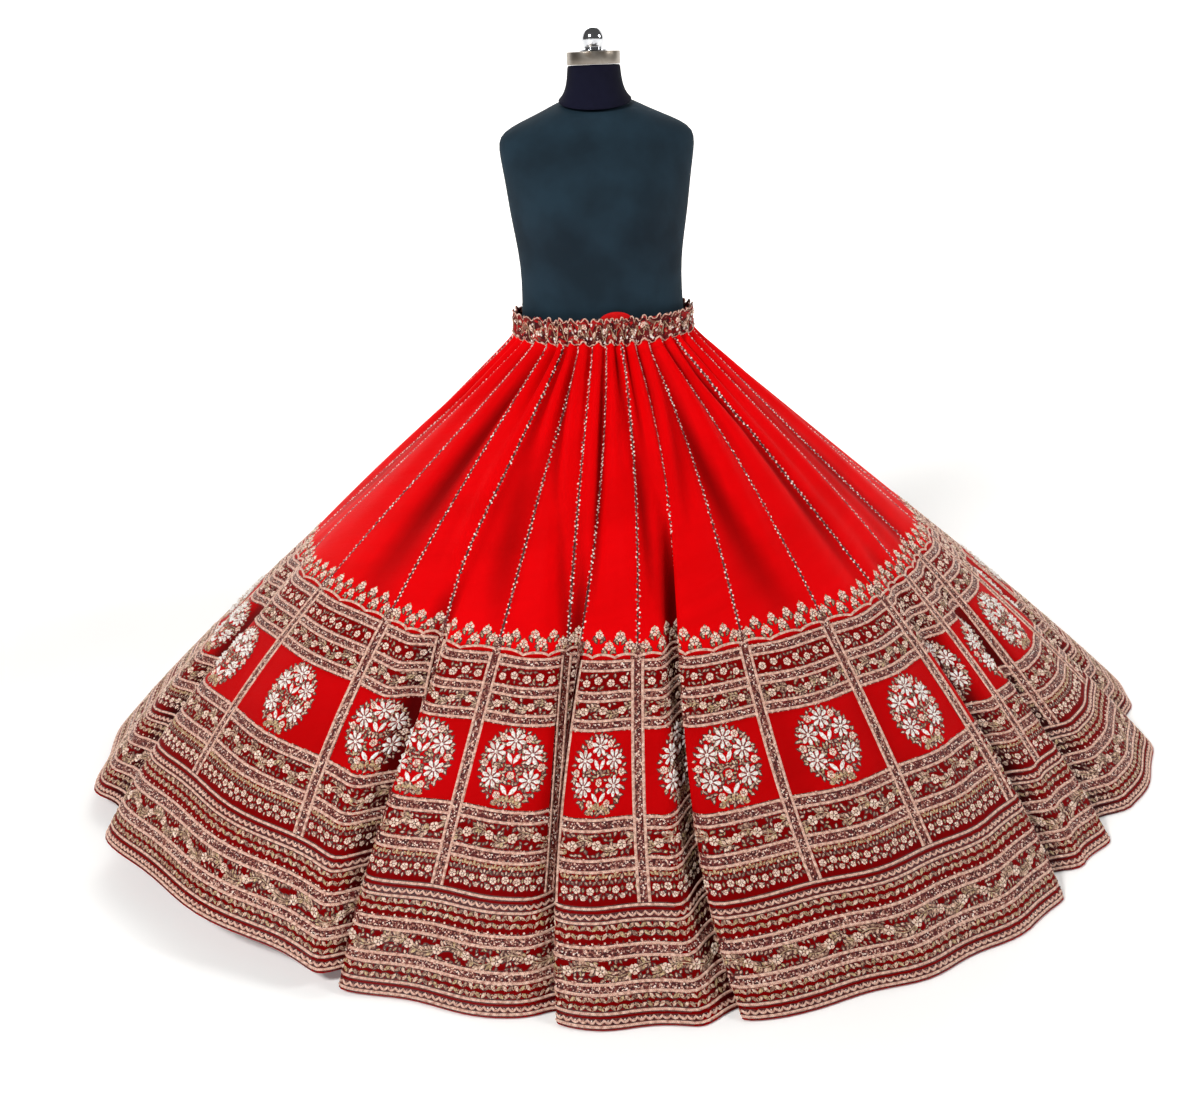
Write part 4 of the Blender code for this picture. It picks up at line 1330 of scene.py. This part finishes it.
# One row per thread: basket, finish, grain, and the dark, middle and light of its colour.
for basket, *finish in (
    ("stems", "stem_thread", 260.0, "#704c3a", "#ac8c6c", "#dcc4a4"),
    ("halos", "dark_backing_and_painted_shadow", 330.0, "#300609", "#4c1010", "#6e2c20"),
    ("leaf_backing", "dark_outline_thread", 330.0, "#260608", "#400c0e", "#5c1c18"),
    ("flower_backing", "maroon_backing_thread", 300.0, "#5c1414", "#8c2a26", "#b45c50"),
    ("cream_flowers", "cream_thread", 300.0, "#b08470", "#f0d2be", "#fff0e2"),
    ("olive_leaves", "olive_gold_thread", 280.0, "#4c2824", "#966e5a", "#d2ae94"),
    ("cream_leaves", "pale_gold_thread", 280.0, "#845444", "#d2a88e", "#f2dac6"),
    ("gold_leaves", "gold_thread", 300.0, "#6a4434", "#b09068", "#dcc294"),
    ("silver_flowers", "silver_white_thread", 300.0, "#b89c8c", "#f6ebe2", "#ffffff"),
    ("white_buds", "white_padded_thread", 240.0, "#bca494", "#f6ede6", "#ffffff"),
):
    THREADS[basket] = thread_finish(*finish)


def empty_baskets(word):
    """Turns each basket into one piece, named with `word`, and returns the pieces."""
    pieces = []
    for basket, held in BASKETS.items():
        parts = {}
        for part in held["faces"]:
            parts.setdefault(part.shape[1], []).append(part)
        faces = [np.concatenate(part) for part in parts.values()]
        points, along = np.concatenate(held["points"]), np.concatenate(held["along"])
        pieces.append(make_piece(f"{word}_{basket}", points, faces, THREADS[basket], along))
    BASKETS.clear()
    return pieces


border = empty_baskets("border")

# %% [markdown]
# ## The waistband
#
# The silk hangs from a band that is gathered on a drawstring, so the band is ruched: its
# cloth puckers, its top edge waves, and its lower edge dips between the gathers of the
# skirt, where a cream cord follows it. It is a second grid of the same kind as the silk,
# and where it comes down over the silk it reads the silk's own surface, so the two never
# cross. Its stitching is denser and more broken than the border's.

# %% The ruched waistband
BAND_HEIGHT = 0.037
BAND_CLOTH = 0.0024
BAND_OVERLAP = 0.0012     # how far the lower edge comes down over the silk, and then more
BAND_DIP = 0.0072         # between the gathers
BAND_CLEAR = 0.0008       # gap between the band and the silk where they overlap
BAND_FLARE = 0.012        # height over which the band leans out to pass the silk
RUCHE = 0.0011
TOP_WAVE = 0.0021


def band_surface(u, t):
    """The band's cloth from its top edge (t = 0) to its lower edge (t = 1)."""
    pucker = np.cos(gather_phase(u))
    turn = 2 * np.pi * u / KALIS
    deep = BAND_DIP * (0.72 + 0.28 * np.sin(5 * turn + 1) + 0.25 * np.sin(13 * turn))
    down = t * (BAND_HEIGHT + BAND_OVERLAP + deep * (1 - pucker) / 2)
    above = np.maximum(BAND_HEIGHT - down, 0)
    point = silk_point(u, np.maximum(down - BAND_HEIGHT, 0) / silk.length)
    outward = unit(point * (1, 1, 0))
    near = np.clip(1 - above / BAND_FLARE, 0, 1)
    ruche = RUCHE * np.sin(2.0 * gather_phase(u) + 1.4 * np.sin(0.9 * u) + 5.0 * t)
    ruche = ruche * np.sin(np.pi * t) ** 0.5
    away = (SILK + BAND_CLOTH + BAND_CLEAR) / 2 * ease(near) + ruche
    wave = TOP_WAVE * np.sin(2.0 * gather_phase(u) + 2.0 * np.sin(6 * turn)) * (1 - t) ** 2
    return point + outward * away[..., None] + np.stack([0 * above, 0 * above, above + wave], -1)


BAND_COLUMNS = np.linspace(-KALIS / 2, KALIS / 2, KALIS * 20 + 1)
band = Cloth(band_surface, BAND_COLUMNS, np.linspace(0, 1, 15), BAND_CLOTH)
# The same silk under stitches so dense that it shows only in patches of 8 mm (1 / 130): a
# broken, dark ground that makes the cords on it stand out.
waistband_silk, shader = new_finish("waistband_silk", Roughness=0.6, Specular_IOR_Level=0.15)
along = along_cloth(waistband_silk)
tint, _ = pebbles(
    waistband_silk, along, 130.0, "Red",
    (0.0, "#32040a"), (0.30, "#4c080c"), (0.50, "#72080c"), (0.68, "#b40408"),
    (0.86, "#4c1a14"), (0.97, "#846050"),
)
feed(shader, "Base Color", tint)
bumpy(waistband_silk, shader, noise(waistband_silk, along, 260.0, 3.0), 0.0012, 0.9)

points, quads, metres = band.mesh()
waistband = make_piece("waistband_ruched", points, [quads], waistband_silk, metres)
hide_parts("waistband")
print(f"band {band.girth[-1, -1]:.3f} m round, {band.length * 1000:.0f} mm high")

# %% Stitching on the waistband
chance = np.random.default_rng(11)
WAIST_FLOWERS = 48
for level, half in ((0.985, 0.0017), (0.020, 0.0011)):
    couch("cords", band.u, level, half, 0.0014, ring=True, cloth=band)
swing = 0.5 + 0.27 * np.sin(2 * np.pi * WAIST_FLOWERS * band.u / KALIS)
couch("stems", band.u, swing, 0.0008, 0.0011, STEM_SHAPE, ring=True, cloth=band)

place = np.arange(WAIST_FLOWERS) * KALIS / WAIST_FLOWERS - KALIS / 2 + KALIS / WAIST_FLOWERS / 4
upper = np.arange(WAIST_FLOWERS) % 2 == 0
level = np.where(upper, 0.36, 0.66) + chance.normal(0, 0.03, WAIST_FLOWERS)
sew("halos", HALO, place, level, 0.0056, cloth=band)
lean = chance.uniform(0, 1.2, WAIST_FLOWERS)
sew("cream_flowers", SMALL_FLOWER, place, level, 0.0046, lean, 0.0003, cloth=band)


def strew(basket, motif, count, low, high, size, lean=0.0):
    """Motifs anywhere round the band, between two levels."""
    where, level = chance.uniform(-KALIS / 2, KALIS / 2, count), chance.uniform(low, high, count)
    size = chance.uniform(*size, count) if isinstance(size, tuple) else size
    sew(basket, motif, where, level, size, chance.uniform(-lean, lean, count) if lean else 0.0, cloth=band)


strew("olive_leaves", LEAF, 120, 0.10, 0.92, 0.0042, 3)
strew("cream_leaves", LEAF, 60, 0.10, 0.92, 0.0036, 3)
strew("gold_leaves", LEAF, 40, 0.10, 0.92, 0.0040, 3)
strew("beads", BEAD, 420, 0.06, 0.95, (0.0008, 0.0015))
strew("silver_flowers", BEAD, 110, 0.15, 0.88, 0.0027)
band_stitches = empty_baskets("waist")

# %% [markdown]
# ## The drawstring
#
# A loop of the drawstring, a flat woven tape, stands up out of the band at the front and
# bows into an arch. It is a small sheet: a strip of points along the band, drawn up in
# the middle to the tape's bow, with a turned edge all round.

# %% The loop of drawstring
TAPE_WIDTH = 0.060
TAPE_RISE = 0.012
TAPE_TUCK = 0.008
TAPE_CLOTH = 0.0012
TAPE_AZIMUTH = 10.0
TAPE_INSET = 0.0054


def tape_grid(columns=41, rows=9):
    share = np.linspace(-1, 1, columns)
    azimuth = np.radians(TAPE_AZIMUTH) + share * TAPE_WIDTH / 2 / WAIST_HALF_DEPTH
    crest = TAPE_TUCK * 0.35 + (TAPE_RISE + TAPE_TUCK * 0.65) * np.sqrt(1 - share**2)
    climb = np.linspace(0, 1, rows)[:, None]
    z = WAIST_Z + BAND_HEIGHT - TAPE_TUCK + crest * climb
    slack = 0.0006 * np.sin(9 * share) * climb
    walls = []
    for side in (1, -1):
        radius = waist_radius(azimuth) - TAPE_INSET + slack + side * TAPE_CLOTH / 2 + 0 * z
        walls.append(np.stack([radius * np.sin(azimuth), -radius * np.cos(azimuth), z], -1))
    return walls, share * TAPE_WIDTH / 2 + 0 * z, crest * climb


walls, along, climbed = tape_grid()
rows, columns = along.shape
at = np.arange(rows * columns).reshape(rows, columns)
wall = quads_between(at)
rim = np.concatenate([at[0, :-1], at[:-1, -1], at[-1, :0:-1], at[:0:-1, 0]])
after = np.roll(rim, -1)
edge = np.stack([after, rim, rim + at.size, after + at.size], -1)
points = np.concatenate([wall_points.reshape(-1, 3) for wall_points in walls])
metres = np.stack([along, climbed], -1).reshape(-1, 2)

# Twill-woven cotton tape dyed with the silk: matt, with slanting ribs. They are 0.6 mm
# apart and drawn with twice that (0.314 / 260), to be seen.
drawstring_tape, shader = new_finish("drawstring_tape", Roughness=0.6, Specular_IOR_Level=0.15)
twill = ribs(drawstring_tape, along_cloth(drawstring_tape), 260.0, bands_direction="DIAGONAL")
feed(shader, "Base Color", blend_colours(drawstring_tape, twill, (0.0, "#b80206"), (1.0, "#e8080a")))
bumpy(drawstring_tape, shader, twill, 0.0003, 0.6)
faces = np.concatenate([wall, wall[:, ::-1] + at.size, edge])
tape = make_piece("drawstring_loop", points, [faces], drawstring_tape, np.concatenate([metres, metres]))
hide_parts("drawstring")

# %% [markdown]
# ## The dress form
#
# The form is a padded torso in a stretched jersey cover, with a darker cover on the neck.
# By hand it starts as a circle at the hips. The face is extruded up, and each new ring is
# scaled to the width and depth of the body there. Then the shoulders are tilted, the bust
# is raised, and one level of subdivision rounds everything off.

# %% Growing a form ring by ring
def grow_rings(name, sides, rows, finish):
    """A closed form from rings of (height, half width, half depth, middle y), in metres."""
    clear_hands()
    height, wide, deep, middle = rows[0]
    foot = (0, middle, height)
    bpy.ops.mesh.primitive_circle_add(vertices=sides, radius=1, fill_type="NGON", location=foot)
    piece = bpy.context.object
    piece.name = piece.data.name = name
    bpy.ops.object.mode_set(mode="EDIT")
    bpy.ops.transform.resize(value=(wide, deep, 1), center_override=foot)
    for low, high in zip(rows, rows[1:]):
        rise = (0, high[3] - low[3], high[0] - low[0])
        bpy.ops.mesh.extrude_region_move(TRANSFORM_OT_translate={"value": rise})
        stretch = (high[1] / low[1], high[2] / low[2], 1)
        bpy.ops.transform.resize(value=stretch, center_override=(0, high[3], high[0]))
    bpy.ops.mesh.select_all(action="SELECT")
    bpy.ops.mesh.normals_make_consistent(inside=False)
    bpy.ops.object.mode_set(mode="OBJECT")
    bpy.ops.object.transform_apply(location=True, rotation=True, scale=True)
    piece.data.materials.append(finish)
    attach(piece, "root")
    return piece


def round_off(piece, angle=60):
    """One level of subdivision, applied, and smooth shading up to the given angle."""
    shape_with(piece, "SUBSURF", levels=1, render_levels=1)
    bpy.ops.object.shade_smooth_by_angle(angle=np.radians(angle))
    print(f"{piece.name}: {sum(len(face.vertices) - 2 for face in piece.data.polygons)} triangles")


# %% Jersey of the covers
def jersey(name, light, dark):
    """Fine knitted jersey: matt, with a soft fuzz at its edges and rows of loops.

    The rows are 0.6 mm apart and drawn 1.1 mm apart, to be seen; shade drifts over 70 mm.
    """
    finish, shader = new_finish(
        name, Roughness=0.85, Specular_IOR_Level=0.15,
        Sheen_Weight=0.25, Sheen_Roughness=0.5, Sheen_Tint=dye(light),
    )
    place = in_space(finish)
    cloud = noise(finish, place, 14.0, 3.0)
    feed(shader, "Base Color", blend_colours(finish, cloud, (0.35, dark), (0.68, light)))
    rows, fuzz = ribs(finish, place, 0.314 / 0.0011, bands_direction="Z"), noise(finish, place, 900.0, 2.0)
    bumpy(finish, shader, reckon(finish, "MULTIPLY_ADD", fuzz, 0.7, rows), 0.0002, 0.7)
    return finish


teal_jersey = jersey("teal_jersey", "#1d303c", "#16252f")
navy_jersey = jersey("navy_jersey", "#0c0d22", "#040415")

# %% The torso
TORSO = (
    # z,    half_x, half_y, y,     rise
    (0.500, 0.120, 0.088, 0.000, 0.00),
    (0.508, 0.146, 0.106, 0.000, 0.00),
    (0.540, 0.163, 0.119, 0.000, 0.00),
    (0.600, 0.168, 0.122, 0.000, 0.00),
    (0.660, 0.159, 0.115, 0.000, 0.00),
    (0.710, 0.146, 0.109, 0.000, 0.00),
    (0.760, 0.143, 0.107, 0.000, 0.00),
    (0.810, 0.140, 0.104, 0.000, 0.00),
    (0.860, 0.140, 0.106, 0.000, 0.00),
    (0.905, 0.146, 0.110, 0.000, 0.00),
    (0.950, 0.153, 0.113, 0.000, 0.00),
    (0.990, 0.157, 0.109, 0.000, 0.00),
    (1.025, 0.162, 0.100, 0.002, 0.02),
    (1.052, 0.166, 0.087, 0.004, 0.05),
    (1.072, 0.164, 0.074, 0.006, 0.08),
    (1.086, 0.145, 0.066, 0.007, 0.12),
    (1.099, 0.112, 0.062, 0.008, 0.17),
    (1.112, 0.080, 0.059, 0.008, 0.22),
    (1.122, 0.062, 0.055, 0.008, 0.25),
)
BUST_HEIGHT = 0.945
BUST_HALF_SPAN = 0.072
BUST_SWELL = 0.024
BUST_SPREAD = 0.048


def nearest_row(rows, z):
    return min(rows, key=lambda row: abs(z - row[0]))


def tilt_rings(piece, rows):
    """Raises the back of each ring, by the rise per metre in the last column of its row."""
    for vertex in piece.data.vertices:
        row = nearest_row(rows, vertex.co.z)
        vertex.co.z += row[4] * (vertex.co.y - row[3])


def raise_bust(piece):
    """Two soft mounds on the front, fading upwards, downwards and to the sides."""
    for vertex in piece.data.vertices:
        row = nearest_row(TORSO, vertex.co.z)
        front = max(0.0, (row[3] - vertex.co.y) / row[2]) ** 0.5
        level = np.exp(-(((row[0] - BUST_HEIGHT) / BUST_SPREAD) ** 2))
        aside = [(vertex.co.x - side * BUST_HALF_SPAN) / BUST_SPREAD for side in (1, -1)]
        mounds = sum(np.exp(-(place**2)) for place in aside)
        vertex.co.y -= BUST_SWELL * level * front * mounds


torso = grow_rings("dress_form_torso", 48, [row[:4] for row in TORSO], teal_jersey)
raise_bust(torso)
tilt_rings(torso, TORSO)
round_off(torso)
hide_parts("form_torso")

# %% The neck cover
NECK = (
    # z,     half_x, half_y, y,     rise
    (1.1224, 0.0640, 0.0570, 0.008, 0.25),
    (1.1250, 0.0622, 0.0560, 0.008, 0.24),
    (1.1330, 0.0545, 0.0525, 0.007, 0.18),
    (1.1440, 0.0490, 0.0490, 0.006, 0.08),
    (1.1600, 0.0455, 0.0460, 0.006, 0.00),
    (1.1790, 0.0440, 0.0440, 0.006, 0.00),
    (1.1800, 0.0438, 0.0438, 0.006, 0.00),
)
neck = grow_rings("dress_form_neck", 48, [row[:4] for row in NECK], navy_jersey)
tilt_rings(neck, NECK)
round_off(neck)
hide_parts("neck_cover")

# %% [markdown]
# ## Cap and finial
#
# A turned metal cap closes the neck, and a domed finial on a flange tops it. The same
# ring-by-ring growth makes both. A bevel on the cap's edges catches the light, as on
# turned and brushed metal. The finial is polished, so what it shows is the room.

# %% The neck cap
JOINT_GAP = 0.0003
CAP_LOW = NECK[-1][0] + JOINT_GAP
CAP_HIGH = CAP_LOW + 0.0200
CAP_RADIUS = 0.0442
NECK_MIDDLE = NECK[-1][3]

# Nickel-plated brass brushed round its rim: level lines spread the shine sideways. They
# are 0.3 mm apart and drawn about 1.1 mm (1 / 900), and tarnish lies in 40 mm patches.
brushed_nickel, shader = new_finish("brushed_nickel", Metallic=1.0, Roughness=0.32, Anisotropic=0.4)
place = in_space(brushed_nickel)
drawn = add_node(brushed_nickel, "ShaderNodeMapping", Vector=place, Scale=(12, 12, 900))
lines = noise(brushed_nickel, drawn.outputs["Vector"], 1.0, 4.0)
patches = noise(brushed_nickel, place, 24.0, 2.0)
feed(shader, "Base Color", blend_colours(
    brushed_nickel, patches, (0.35, "#8a8074"), (0.55, "#a8a096"), (0.7, "#7c6a58")))
bumpy(brushed_nickel, shader, lines, 0.0002, 0.35)

cap = grow_rings("neck_cap_turned", 96, (
    (CAP_LOW, CAP_RADIUS, CAP_RADIUS, NECK_MIDDLE), (CAP_HIGH, CAP_RADIUS, CAP_RADIUS, NECK_MIDDLE),
), brushed_nickel)
shape_with(cap, "BEVEL", width=0.0012, segments=4, limit_method="ANGLE")
bpy.ops.object.shade_smooth_by_angle(angle=np.radians(40))
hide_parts("neck_cap")

# %% The finial
FINIAL_FOOT = CAP_HIGH + JOINT_GAP
FINIAL_RADIUS = 0.0188
FINIAL_HEIGHT = 0.0385
FLANGE_RADIUS = 0.0240

# Chromium plate on a turned knob: a mirror, blurred in 17 mm smudges (1 / 60) by handling,
# with the faint 7 mm waves of hand polishing.
chrome, shader = new_finish("chrome", Metallic=1.0, Base_Color=dye("#d4d6da"))
place = in_space(chrome)
smudge = noise(chrome, place, 60.0, 4.0)
gloss = add_node(chrome, "ShaderNodeMapRange", Value=smudge, To_Min=0.06, To_Max=0.16)
feed(shader, "Roughness", gloss.outputs["Result"])
bumpy(chrome, shader, noise(chrome, place, 140.0, 1.0), 0.0004, 0.5)

# Height above the foot and radius: the flange, the waist over it, and then the dome.
FLANGE = (
    (0.0, FLANGE_RADIUS - 0.001), (0.001, FLANGE_RADIUS), (0.002, FLANGE_RADIUS),
    (0.0032, FLANGE_RADIUS - 0.002), (0.0045, 0.0152), (0.0070, 0.0164),
)
outline = [(FINIAL_FOOT + rise, radius) for rise, radius in FLANGE]
middle_height = FINIAL_FOOT + FINIAL_HEIGHT - FINIAL_RADIUS
for angle in np.radians((-25, -10, 0, 14, 28, 41, 53, 64, 74, 82, 87)):
    outline.append((middle_height + FINIAL_RADIUS * np.sin(angle), FINIAL_RADIUS * np.cos(angle)))
finial = grow_rings("finial_polished", 64, [(z, r, r, NECK_MIDDLE) for z, r in outline], chrome)
round_off(finial, 45)
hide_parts("finial")

# %% [markdown]
# ## The stand
#
# Under the skirt a pole carries the form on a round foot. Their shapes are right as the
# frame has them, so they only get a finish: black stoved enamel, slightly orange-peeled.

# %% Black enamel on the pole and foot
# Stoved enamel sprayed on steel: black, half gloss, with an orange peel of 3 mm (1 / 300).
black_enamel, shader = new_finish("black_enamel", Roughness=0.35, Specular_IOR_Level=0.5)
place = in_space(black_enamel)
dust = noise(black_enamel, place, 30.0, 4.0)
feed(shader, "Base Color", blend_colours(black_enamel, dust, (0.4, "#0c0c0e"), (0.75, "#1a1a1c")))
bumpy(black_enamel, shader, noise(black_enamel, place, 300.0, 1.0), 0.0003, 0.3)
for name in ("stand_pole", "stand_base"):
    node = bpy.data.objects[name]
    node.data.materials.clear()
    node.data.materials.append(black_enamel)
    print(name, "enamelled")

# %% Print the size of the visual box
low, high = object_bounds()
print("visual box, mm:", [round(1000 * (b - a)) for a, b in zip(low, high)])
